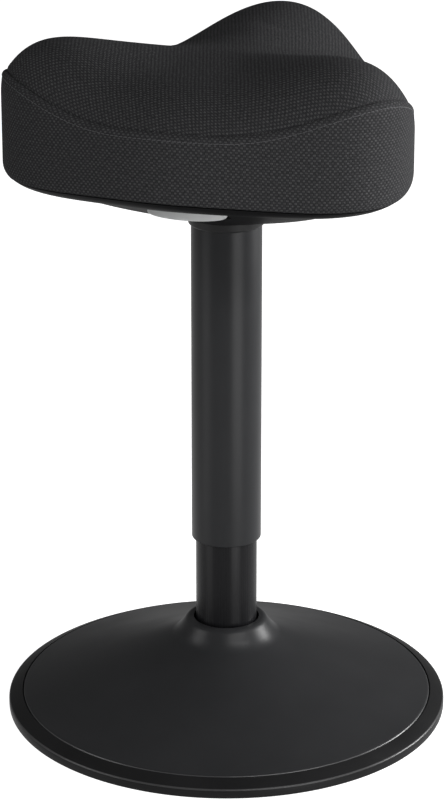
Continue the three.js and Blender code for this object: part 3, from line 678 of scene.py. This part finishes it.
def bowl_path(depth, slope_steps=30, rim_steps=14):
    """Rows of radius and height up the bowl's outside, or a depth inside it, from hub to edge."""
    bend_share, edge_gap = 1.09, 0.05
    belly_depth, belly_share, window_spread = 0.0022, 1.7, 0.45
    share = np.linspace(0, 1, slope_steps)[:-1, None]
    knee_radius, knee_height = rolled_edge(0.0)
    radii = bowl_hub + (knee_radius - bowl_hub) * share
    away_from_paddle = 1 - np.exp(-(((angle - math.pi) / window_spread) ** 2))
    belly = belly_depth * np.sin(math.pi * share**belly_share) * away_from_paddle
    heights = hub_height + (knee_height - hub_height) * share**bend_share - belly + depth
    turn = np.linspace(0, 1, rim_steps)[:, None] * (hem_turn() - edge_gap)
    rim_radii, rim_heights = rolled_edge(turn, rim_step, depth)
    return np.concatenate([radii, rim_radii]), np.concatenate([heights, rim_heights])


def bowl_mesh():
    """The shell with its window and its three screw bores cut out."""
    outer_radii, outer_heights = bowl_path(0.0)
    inner_radii, inner_heights = bowl_path(bowl_wall)
    lip_gap = 0.035
    edge_radii, edge_heights = rolled_edge(hem_turn() - lip_gap, rim_step, bowl_wall / 2)
    radii = np.concatenate([outer_radii, [edge_radii], inner_radii[::-1]])
    heights = np.concatenate([outer_heights, [edge_heights], inner_heights[::-1]])
    shell = mesh_from_grid("bowl", round_seat(radii, heights), closed_rows=True)
    window = prism(paddle_plan(window_gap), hub_height, board_low)
    bores = pegs(boss_bore, hub_height, boss_seat, on_circle(boss_circle, 3))
    return cut_away(shell, [window, *bores])


place("bowl", bowl_mesh(), [bowl_plastic], "seat", "shell_plastic", "under_shell")


def boss_mesh():
    """Three hollow posts that carry the screws from the bowl's wall up to the board."""
    inner_foot, outer_foot = boss_seat - 0.012, boss_seat - 0.010
    post = [
        (boss_bore, inner_foot),
        (boss_wall, outer_foot),
        (boss_wall, board_low - clearance),
        (screw_hole, board_low - clearance),
        (screw_hole, boss_seat),
        (boss_bore, boss_seat),
    ]
    return ring_of(turned("post", post, 48), 3, boss_circle, 0.0, 0.0, bowl_plastic)


place("bowl_posts", boss_mesh(), [bowl_plastic], "seat", "shell_plastic")
deep_head = 0.0033
shell_screw = screw_mesh(screw_head, deep_head, screw_shank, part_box("shell_screw_1")[1].z - boss_seat)
screws = ring_of(shell_screw, 3, boss_circle, boss_seat - clearance, 0.0, dark_steel)
screw_nodes = [f"shell_screw_{number}" for number in range(1, 4)]
place("shell_screws", screws, [dark_steel], "seat", "dark_steel", *screw_nodes)


# Release paddle: a light grey moulded grip in the bowl's window, satin, with soft edges. Pulling it
# up tips the arm inside, which presses the gas spring's valve.
paddle_plastic = skin_material(
    "paddle_plastic", (0.63, 0.64, 0.64), (0.36, 0.44), (1100.0, 0.06), drift=0.04, specular=0.4
)


def paddle_mesh():
    """The grip with soft edges, and a slot in its inner side for the steel arm."""
    low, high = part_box("release_paddle")
    body = new_object("blank", prism(paddle_plan(0.0), low.z, high.z, "paddle"))
    bevel = body.modifiers.new("edges", "BEVEL")
    bevel.width = 0.0009
    bevel.segments = 4
    bevel.limit_method = "ANGLE"
    bevel.angle_limit = math.radians(50)
    mesh = plain_mesh(body)
    bpy.data.objects.remove(body)
    arm_half, arm_bottom, arm_top = 0.006, hub_height + 0.035, hub_height + 0.038
    half, end = arm_half + clearance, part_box("release_arm")[0].y - clearance
    slot = [(-half, end), (half, end), (half, 0.0), (-half, 0.0)]
    mesh = cut_away(mesh, [prism(slot, arm_bottom - clearance, arm_top + clearance)])
    shade(mesh, 32)
    return mesh


place("paddle", paddle_mesh(), [paddle_plastic], "lever", "paddle_plastic", "release_paddle")


# Cushion: moulded foam in a charcoal basket-weave cover. The band rolls over its topstitch to the
# seam where the top panel is sewn on, goes straight down, rolls under and tucks in behind the bowl.
edge_inset, edge_rise = 0.005, 0.0075
centre_height = hub_height + 0.1358
top_rows = 70


def top_height(at, share):
    """Height of the cushion's top at a share of the way from its centre to its edge."""
    crown = wave(0.02556, -0.01967, -0.00728, 0.00521, 0.0, at)
    edge = stitch_height(at) + edge_rise
    level = centre_height + (edge - centre_height) * share**1.4
    return level + crown * share**2 * (1 - share**5.17)


def settled_top(at, share):
    """The same height with the middle smoothed, so that the lobes meet without a point."""
    reach, spread, fade_from, fade = 0.11, 0.013, 0.072, 0.04
    spots, step = np.linspace(-reach, reach, 111, retstep=True)
    x, y = np.meshgrid(spots, spots, indexing="ij")
    spot_angle = np.arctan2(-x, y)
    edge = seat_outline(spot_angle) - edge_inset
    field = top_height(spot_angle, np.clip(np.hypot(x, y) / edge, 0.0, 1.0))
    weights = np.exp(-0.5 * (np.arange(-18, 19) * step / spread) ** 2)
    weights /= weights.sum()
    for axis in (0, 1):
        field = np.apply_along_axis(np.convolve, axis, field, weights, mode="same")
    radius = share * (seat_outline(at) - edge_inset)
    u = np.clip((-radius * np.sin(at) + reach) / step, 0, len(spots) - 1.001)
    v = np.clip((radius * np.cos(at) + reach) / step, 0, len(spots) - 1.001)
    i, j = u.astype(int), v.astype(int)
    fu, fv = u - i, v - j
    smooth = field[i, j] * (1 - fu) * (1 - fv) + field[i + 1, j] * fu * (1 - fv)
    smooth += field[i, j + 1] * (1 - fu) * fv + field[i + 1, j + 1] * fu * fv
    blend = np.clip((fade_from - radius) / fade, 0.0, 1.0)
    blend = blend * blend * (3 - 2 * blend)
    return top_height(at, share) * (1 - blend) + smooth * blend


band_shoulder = [
    (-0.0110, 0.0000), (-0.0080, 0.0001), (-0.0050, 0.0003), (-0.0026, 0.0006), (-0.0008, 0.0008),
    (0.0004, 0.0009), (0.0010, 0.0011), (0.0015, 0.0014), (0.0020, 0.0011), (0.0027, 0.0009),
    (0.0036, 0.0011), (0.0045, 0.0015), (0.0054, 0.0022), (0.0061, 0.0031), (0.0065, 0.0040),
    (0.0066, 0.0046), (0.0063, 0.0051),
]
stitch_row = 7
seam_of_top = [(0.0060, 0.0053), (0.0065, 0.0055), (0.0074, 0.0055)]
top_share = 0.9955


def cushion_rows():
    """Rows of (radius, height, zone) up the cushion's section. Zone 0 is lining, 1 band, 2 top."""
    outline, stitch, hem = seat_outline(), stitch_height(), hem_turn()
    cloth, tuck, board_inset, skirt_gap, band_start = 0.0016, 0.0012, 0.0117, 0.0005, 0.055
    board_edge = outline - board_inset
    bottom = np.full(columns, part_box("tee_nut_1")[1].z + clearance)
    lining_turn = np.minimum(hem + 0.2, 1.5)
    inner_radius, inner_height = rolled_edge(lining_turn, 0.0, cloth + clearance)
    skirt = np.maximum(inner_height, board_low) + skirt_gap
    rows = [(board_edge * share, bottom, 0) for share in (0.0, 0.3, 0.6, 0.9, 0.985)]
    rows += [(board_edge, bottom, 0), (board_edge, skirt, 0), (inner_radius, inner_height, 0)]
    tucked = (0.06, cloth, 0), (0.0, cloth, 0), (0.0, tuck, 1), (0.005, tuck / 2, 1), (0.025, tuck / 8, 1)
    for past_hem, depth, zone in tucked:
        rows.append((*rolled_edge(hem + past_hem, 0.0, depth), zone))
    for share in np.linspace(0, 1, 16):
        turn = hem + band_start + (math.pi / 2 - hem - band_start) * share
        rows.append((*rolled_edge(turn), 1))
    foot = rows[-1][1]
    wall_top = stitch + band_shoulder[0][0]
    for share in np.linspace(0, 1, 18)[1:-1]:
        rows.append((outline, foot + (wall_top - foot) * share, 1))
    rows += [(outline - inset, stitch + rise, 1) for rise, inset in band_shoulder]
    rows += [(outline - inset, stitch + rise, 2) for rise, inset in seam_of_top]
    for share in top_share * (1 - np.linspace(0, 1, top_rows) ** 1.25):
        rows.append(((outline - edge_inset) * share, settled_top(angle, np.full(columns, share)), 2))
    return rows


def simulate_fill():
    """Inflates a coarse copy of the cushion, held at its seams, and returns where it started and
    how far each point moved."""
    count, most, frames, voxel = 120, 0.004, 20, 0.005
    middle_rise, seam_in, seam_up, seam_hold, hem_hold = 0.004, 0.0025, 0.005, 0.007, 0.008
    coarse = np.linspace(0, 2 * math.pi, count, endpoint=False)
    outline, stitch, hem = seat_outline(coarse), stitch_height(coarse), hem_turn(coarse)
    hem_radius, hem_rise = rolled_edge(hem, at=coarse)
    rows = [(hem_radius * share, hem_rise + middle_rise * (1 - share)) for share in (0.0, 0.4, 0.8, 1.0)]
    for share in np.linspace(0, 1, 6)[1:]:
        rows.append(rolled_edge(hem + (math.pi / 2 - hem) * share, at=coarse))
    foot = rows[-1][1]
    rows += [(outline, foot + (stitch - foot) * share) for share in (0.25, 0.5, 0.75, 1)]
    rows.append((outline - seam_in, stitch + seam_up))
    for share in 1 - np.linspace(0, 1, 20) ** 1.25:
        rows.append(((outline - edge_inset) * share, settled_top(coarse, np.full(count, share))))
    grid = round_seat(*zip(*rows), coarse)
    pad = new_object("pad", mesh_from_grid("pad", grid, closed_rows=False))
    remesh = pad.modifiers.new("remesh", "REMESH")
    remesh.mode = "VOXEL"
    remesh.voxel_size = voxel
    mesh = plain_mesh(pad)
    bpy.data.objects.remove(pad)
    pad = new_object("pad", mesh)
    start = np.array([vertex.co for vertex in mesh.vertices])
    around = np.arctan2(-start[:, 0], start[:, 1])
    radius = np.hypot(start[:, 0], start[:, 1])
    seam = np.hypot(radius - seat_outline(around), start[:, 2] - stitch_height(around))
    under = start[:, 2] < rolled_edge(hem_turn(around), at=around)[1] + hem_hold
    held = pad.vertex_groups.new(name="held")
    for i in np.nonzero((seam < seam_hold) | under)[0].tolist():
        held.add([i], 1.0, "REPLACE")
    cloth_modifier = pad.modifiers.new("cloth", "CLOTH")
    settings = cloth_modifier.settings
    settings.vertex_group_mass = "held"
    settings.use_pressure = True
    settings.uniform_pressure_force = 4.0
    settings.tension_stiffness = 40.0
    settings.compression_stiffness = 40.0
    settings.effector_weights.gravity = 0.0
    cloth_modifier.point_cache.frame_start = 1
    cloth_modifier.point_cache.frame_end = frames
    for number in range(1, frames + 1):
        bpy.context.scene.frame_set(number)
    moved = np.array([vertex.co for vertex in plain_mesh(pad).vertices]) - start
    bpy.context.scene.frame_set(1)
    bpy.data.objects.remove(pad)
    length = np.maximum(np.linalg.norm(moved, axis=1), 1e-9)
    return start, moved * (most * np.tanh(length / most) / length)[:, None]


def filled_points(points, zones):
    """The cushion's points moved by half of what the simulated filling moved its coarse copy."""
    kept_share, neighbours, softening = 0.5, 8, 0.002
    seam_held, seam_fade, hem_fade = 0.006, 0.02, 0.012
    start, moved = simulate_fill()
    tree = kdtree.KDTree(len(start))
    for i, spot in enumerate(start):
        tree.insert(spot, i)
    tree.balance()
    shape = points.shape
    flat = points.reshape(-1, 3)
    zone_of = np.tile(zones, shape[0])
    at = np.arctan2(-flat[:, 0], flat[:, 1])
    seam = np.hypot(np.hypot(flat[:, 0], flat[:, 1]) - seat_outline(at), flat[:, 2] - stitch_height(at))
    above_hem = flat[:, 2] - rolled_edge(hem_turn(at), at=at)[1]
    free = np.clip((seam - seam_held) / seam_fade, 0.0, 1.0) * (zone_of > 0)
    free *= np.clip(above_hem / hem_fade, 0.0, 1.0)
    result = flat.copy()
    for i in np.nonzero(free > 0)[0].tolist():
        near = tree.find_n(flat[i], neighbours)
        weights = np.array([1.0 / (distance + softening) for _, _, distance in near])
        push = (weights[:, None] * moved[[index for _, index, _ in near]]).sum(0) / weights.sum()
        result[i] += push * free[i] * kept_share
    return result.reshape(shape)


def weave_paths(points, zones):
    """Cloth coordinates in metres for each column and row: round and up the band, out over the top."""
    girth_row = 24
    columns_closed = np.concatenate([points, points[:1]])
    count, rows = columns_closed.shape[:2]
    cloth_u, cloth_v = np.zeros((count, rows)), np.zeros((count, rows))
    around = np.linalg.norm(np.diff(columns_closed[:, zones == 1][:, girth_row], axis=0), axis=1)
    cloth_u[:] = np.concatenate([[0], np.cumsum(around)])[:, None]
    climb = np.linalg.norm(np.diff(columns_closed, axis=1), axis=2)
    cloth_v[:, 1:] = np.cumsum(climb, axis=1)
    cloth_v -= cloth_v[:, [int(np.nonzero(zones == 1)[0][0])]]
    top = zones == 2
    from_centre = np.cumsum(climb[:, ::-1], axis=1)[:, ::-1]
    from_centre = np.concatenate([from_centre, np.zeros((count, 1))], axis=1)
    closed_angle = np.linspace(0, 2 * math.pi, count)[:, None]
    cloth_u[:, top] = (-from_centre * np.sin(closed_angle))[:, top]
    cloth_v[:, top] = (from_centre * np.cos(closed_angle))[:, top]
    return np.stack([cloth_u, cloth_v], axis=2)


def cushion_mesh():
    """The cushion with its cloth coordinates and zones, and the line where its topstitch lies."""
    radii, heights, zones = zip(*cushion_rows())
    zones, count = np.array(zones), len(zones)
    points = filled_points(round_seat(radii, heights), zones)
    cloth = weave_paths(points, zones)
    points[:, 0] = 0, 0, heights[0][0]
    points[:, -1] = 0, 0, points[:, -1, 2].mean()
    ends = face_corners(columns, count - 1)
    faces = np.stack([column % columns * count + row for column, row in ends], axis=1)
    mesh = bpy.data.meshes.new("cushion")
    mesh.from_pydata(points.reshape(-1, 3).tolist(), [], faces.tolist())
    layer = mesh.uv_layers.new(name="cloth")
    layer.data.foreach_set("uv", np.stack([cloth[end] for end in ends], axis=1).ravel())
    row = ends[0][1]
    mesh.polygons.foreach_set("material_index", np.maximum(zones[row], zones[row + 1]))
    join_up(mesh)
    shade(mesh, 70)
    first_shoulder_row = int(np.nonzero(zones == 1)[0][-1]) + 1 - len(band_shoulder)
    return mesh, points[:, first_shoulder_row + stitch_row]


def make_weave_group():
    """Basket weave: pairs of pale warp yarns and dark weft yarns pass over each other in turn, with
    painted shade where they dip into the gaps.
    """
    inputs = {"Float": ["Cell", "Turn", "Depth"], "Color": ["Warp Tone", "Weft Tone", "Gap Shade Tone"]}
    tree, given, result = new_surface_group("basket_weave", inputs)
    flat = node(tree, "ShaderNodeUVMap", uv_map="cloth").outputs["UV"]
    sockets = {"Vector": flat, "Angle": given["Turn"]}
    laid = node(tree, "ShaderNodeVectorRotate", sockets, rotation_type="Z_AXIS").outputs[0]
    sockets = {"Vector": laid, "Scale": 90.0, "Detail": 1.0}
    slack = node(tree, "ShaderNodeTexNoise", sockets).outputs["Color"]
    wander = vector_calc(tree, "SUBTRACT", {0: slack, 1: (0.5, 0.5, 0.5)})
    drift = vector_calc(tree, "SCALE", {0: wander, "Scale": 0.0012})
    spot = vector_calc(tree, "ADD", {0: laid, 1: drift})
    split = node(tree, "ShaderNodeSeparateXYZ", {"Vector": spot}).outputs
    x, y = (calc(tree, "DIVIDE", split[axis], given["Cell"]) for axis in "XY")
    cell = calc(tree, "ADD", calc(tree, "FLOOR", x), calc(tree, "FLOOR", y))
    over = calc(tree, "ABSOLUTE", calc(tree, "MODULO", cell, 2.0))

    def yarn_pair(across, along):
        """Height of two yarns side by side that dive under the crossing pair at both ends."""
        pair = calc(tree, "ABSOLUTE", calc(tree, "SINE", calc(tree, "MULTIPLY", across, 2 * math.pi)))
        arch = calc(tree, "SINE", calc(tree, "MULTIPLY", calc(tree, "FRACT", along), math.pi))
        return calc(tree, "MULTIPLY", calc(tree, "POWER", pair, 0.35), calc(tree, "POWER", arch, 0.6))

    sockets = {"Factor": over, "A": yarn_pair(y, x), "B": yarn_pair(x, y)}
    height = node(tree, "ShaderNodeMix", sockets, data_type="FLOAT").outputs["Result"]
    fibre = noise(tree, spot, 5200.0, 2.0)
    hairy = calc(tree, "ADD", calc(tree, "MULTIPLY", fibre, 0.6), 0.7)
    uneven = ranged(tree, noise(tree, spot, 380.0, 2.0), (0.3, 0.7), (0.45, 1.15))
    # Painted shade: the lower a yarn lies, where it dives under the crossing pair and in the gaps, the
    # nearer its colour goes to the darker gap shade tone.
    lit = calc(tree, "MULTIPLY", calc(tree, "MULTIPLY", ranged(tree, height, (0.15, 0.8)), hairy), uneven)
    yarn_tone = mix_tones(tree, over, given["Weft Tone"], given["Warp Tone"])
    tint = mix_tones(tree, lit, given["Gap Shade Tone"], yarn_tone)
    gloss = ranged(tree, fibre, (0.0, 1.0), (0.72, 0.9))
    rough_height = calc(tree, "ADD", height, calc(tree, "MULTIPLY", fibre, 0.3))
    bumps = {"Strength": given["Depth"], "Distance": 0.0005, "Height": rough_height}
    end_surface_group(tree, result, tint, gloss, bumps)
    return tree


weave_group = make_weave_group()


def cloth_material(name, turn, warp_tone, weft_tone):
    """Charcoal basket weave with a soft sheen, laid at an angle."""
    # The gap shade tone is painted shade: the weft's tone darkened for the hollows between the yarns.
    gap_shade_tone = [value * 0.45 for value in weft_tone]
    tones = {"Warp Tone": warp_tone, "Weft Tone": weft_tone, "Gap Shade Tone": gap_shade_tone}
    inputs = {"Cell": 0.00198, "Turn": turn, "Depth": 0.5}
    inputs |= {label: (*tone, 1.0) for label, tone in tones.items()}
    surface = {"Specular IOR Level": 0.02, "Sheen Weight": 0.01, "Sheen Roughness": 0.5}
    surface["Sheen Tint"] = (0.8, 0.8, 0.85, 1.0)
    return group_material(name, weave_group, warp_tone, inputs, surface)


view_turn = math.radians(17.11)
yarns = (0.078, 0.078, 0.080), (0.038, 0.038, 0.040)
band_cloth = cloth_material("band_cloth", 0.0, *yarns)
top_cloth = cloth_material("top_cloth", math.radians(45) - view_turn, *yarns)
lining_cloth = skin_material("cushion_lining", (0.05, 0.05, 0.05), (0.85, 0.95), (900.0, 0.3))
cushion_shape, stitch_path = cushion_mesh()
finishes = [lining_cloth, band_cloth, top_cloth]
nodes = ["seat_foam", "cover_band", "cover_top"]
cushion = place("cushion", cushion_shape, finishes, "seat", "seat_cloth", *nodes)


# Topstitch: grey thread in short stitches along the band, just below the fold. Each stitch is a
# small tapered loop that dips into the cloth at both ends.
def make_stitch_tree():
    """Copies of one stitch, evenly spaced along a closed path and turned to follow it, made real."""
    tree, given, result = make_scatter_tree("row_of_stitches", {"Float": ["Pitch"]})
    path = node(tree, "GeometryNodeMeshToCurve", {"Mesh": given["Geometry"]}).outputs["Curve"]
    sockets = {"Curve": path, "Length": given["Pitch"]}
    spaced = node(tree, "GeometryNodeResampleCurve", sockets, mode="LENGTH").outputs["Curve"]
    tangent = node(tree, "GeometryNodeInputTangent").outputs["Tangent"]
    facing = node(tree, "FunctionNodeAlignRotationToVector", {"Vector": tangent}, axis="X")
    end_scatter_tree(tree, given, result, spaced, facing.outputs["Rotation"])
    return tree


def stitch_mesh(length=0.0036, thickness=0.0002, rings=7, sides=6):
    """One stitch along X: a thread that swells in the middle and narrows at both ends."""
    along = np.linspace(-1, 1, rings)
    turn = np.linspace(0, 2 * math.pi, sides, endpoint=False)
    radius = thickness * np.sqrt(np.maximum(1 - along**4, 0.0))
    points = np.empty((sides, rings, 3))
    points[:, :, 0] = along * length / 2
    points[:, :, 1] = np.cos(turn)[:, None] * radius
    points[:, :, 2] = np.sin(turn)[:, None] * radius
    return mesh_from_grid("stitch", points, closed_rows=False)


def topstitch():
    """Lays the stitches just proud of the cloth, along the cushion's stitch line."""
    thread = skin_material("stitch_thread", (0.11, 0.11, 0.115), (0.5, 0.6), (3000.0, 0.2), specular=0.2)
    path = bpy.data.meshes.new("path")
    proud, pitch = 0.00012, 0.0039
    outward = stitch_path * np.array([1.0, 1.0, 0.0])
    outward /= np.linalg.norm(outward, axis=1)[:, None]
    spots = stitch_path + outward * proud
    loop = [(i, (i + 1) % len(spots)) for i in range(len(spots))]
    path.from_pydata(spots.tolist(), loop, [])
    mesh = scatter(make_stitch_tree(), path, stitch_mesh(), {"Pitch": pitch, "Finish": thread})
    mesh.shade_smooth()
    place("topstitch", mesh, [thread], "seat", "seat_cloth")


topstitch()


# Studio: a white floor that keeps a soft shadow, a white surround and five large soft lamps that
# the camera doesn't see, placed in the directions of the camera.
def seen_rays(tree):
    """1 for the rays in which a thing is seen: of the camera, of gloss and through clear things. The
    second value is 1 for the camera's own rays only."""
    path = node(tree, "ShaderNodeLightPath").outputs
    seen = calc(tree, "MAXIMUM", path["Is Camera Ray"], path["Is Glossy Ray"])
    return calc(tree, "MAXIMUM", seen, path["Is Transmission Ray"]), path["Is Camera Ray"]


def make_floor():
    """The floor takes shadows in a mid grey and adds white of its own where it is seen."""
    half = 12.0
    mesh = bpy.data.meshes.new("floor")
    corners = [(-half, -half, 0), (half, -half, 0), (half, half, 0), (-half, half, 0)]
    mesh.from_pydata(corners, [], [(0, 1, 2, 3)])
    floor = new_object("floor", mesh)
    surface = {"Base Color": (0.6, 0.6, 0.6, 1.0), "Roughness": 0.9, "Specular IOR Level": 0.0}
    material, tree, shader = new_material("floor_white", surface)
    sockets = {"Color": (1.0, 1.0, 1.0, 1.0), "Strength": seen_rays(tree)[0]}
    white = node(tree, "ShaderNodeEmission", sockets)
    both = node(tree, "ShaderNodeAddShader", {0: shader.outputs[0], 1: white.outputs[0]})
    tree.links.new(both.outputs[0], tree.nodes["Material Output"].inputs["Surface"])
    mesh.materials.append(material)
    floor.visible_glossy = False
    floor.visible_shadow = False


def make_surround():
    """White to the camera. In gloss it is dim above the horizon and brighter below, like the floor."""
    world = bpy.data.worlds.new("studio")
    bpy.context.scene.world = world
    world.use_nodes = True
    tree = world.node_tree
    tree.nodes.clear()
    seen, by_camera = seen_rays(tree)
    level = ranged(tree, seen, (0.0, 1.0), (0.08, 1.0))
    toward = node(tree, "ShaderNodeTexCoord").outputs["Generated"]
    height = node(tree, "ShaderNodeSeparateXYZ", {"Vector": toward}).outputs["Z"]
    dimming = ranged(tree, height, (-0.5, 0.05), (0.8, 0.13))
    strength = calc(tree, "MAXIMUM", calc(tree, "MULTIPLY", level, dimming), by_camera)
    sky = node(tree, "ShaderNodeBackground", {"Color": (1.0, 1.0, 1.0, 1.0), "Strength": strength})
    node(tree, "ShaderNodeOutputWorld", {"Surface": sky.outputs[0]})


def soft_lamp(name, position, width, height, power):
    """A rectangular lamp that the camera doesn't see, aimed at the stool."""
    data = bpy.data.lights.new(name, "AREA")
    data.shape = "RECTANGLE"
    data.size, data.size_y = width, height
    data.energy = power
    lamp = new_object(name, data)
    lamp.visible_camera = False
    lamp.location = position
    lamp.rotation_mode = "QUATERNION"
    lamp.rotation_quaternion = (Vector((0, 0, 0.3)) - position).to_track_quat("-Z", "Y")


def from_view(across, away, up):
    """A place given in the camera's own directions, turned into the stool's."""
    cos, sin = math.cos(view_turn), math.sin(view_turn)
    return Vector((cos * across - sin * away, sin * across + cos * away, up))


def make_camera():
    """The camera fitted to the photograph's outlines."""
    data = bpy.data.cameras.new("camera")
    data.lens, data.sensor_width = 141.67, 36.0
    camera = new_object("camera", data)
    pitch, distance, aside, aim_height = math.radians(20.51), 2.53754, -0.0032, 0.2657
    away, rise = -distance * math.cos(pitch), distance * math.sin(pitch)
    camera.location = from_view(aside, away, aim_height + rise)
    camera.rotation_euler = (math.pi / 2 - pitch, 0.0, view_turn)
    bpy.context.scene.camera = camera


make_floor()
make_surround()
soft_lamp("key", from_view(2.25, 0.55, 0.75), 1.0, 1.0, 72.0)
soft_lamp("right_band", from_view(1.2, -1.7, 0.1), 1.15, 1.9, 19.0)
soft_lamp("left_band", from_view(-1.95, -0.8, -0.4), 1.1, 1.0, 3.0)
soft_lamp("left_side", from_view(-1.95, -0.45, 1.15), 1.0, 1.0, 14.0)
soft_lamp("top", from_view(1.0, -1.4, 1.7), 1.9, 0.16, 22.0)
make_camera()
bpy.context.scene.view_settings.view_transform = "Standard"
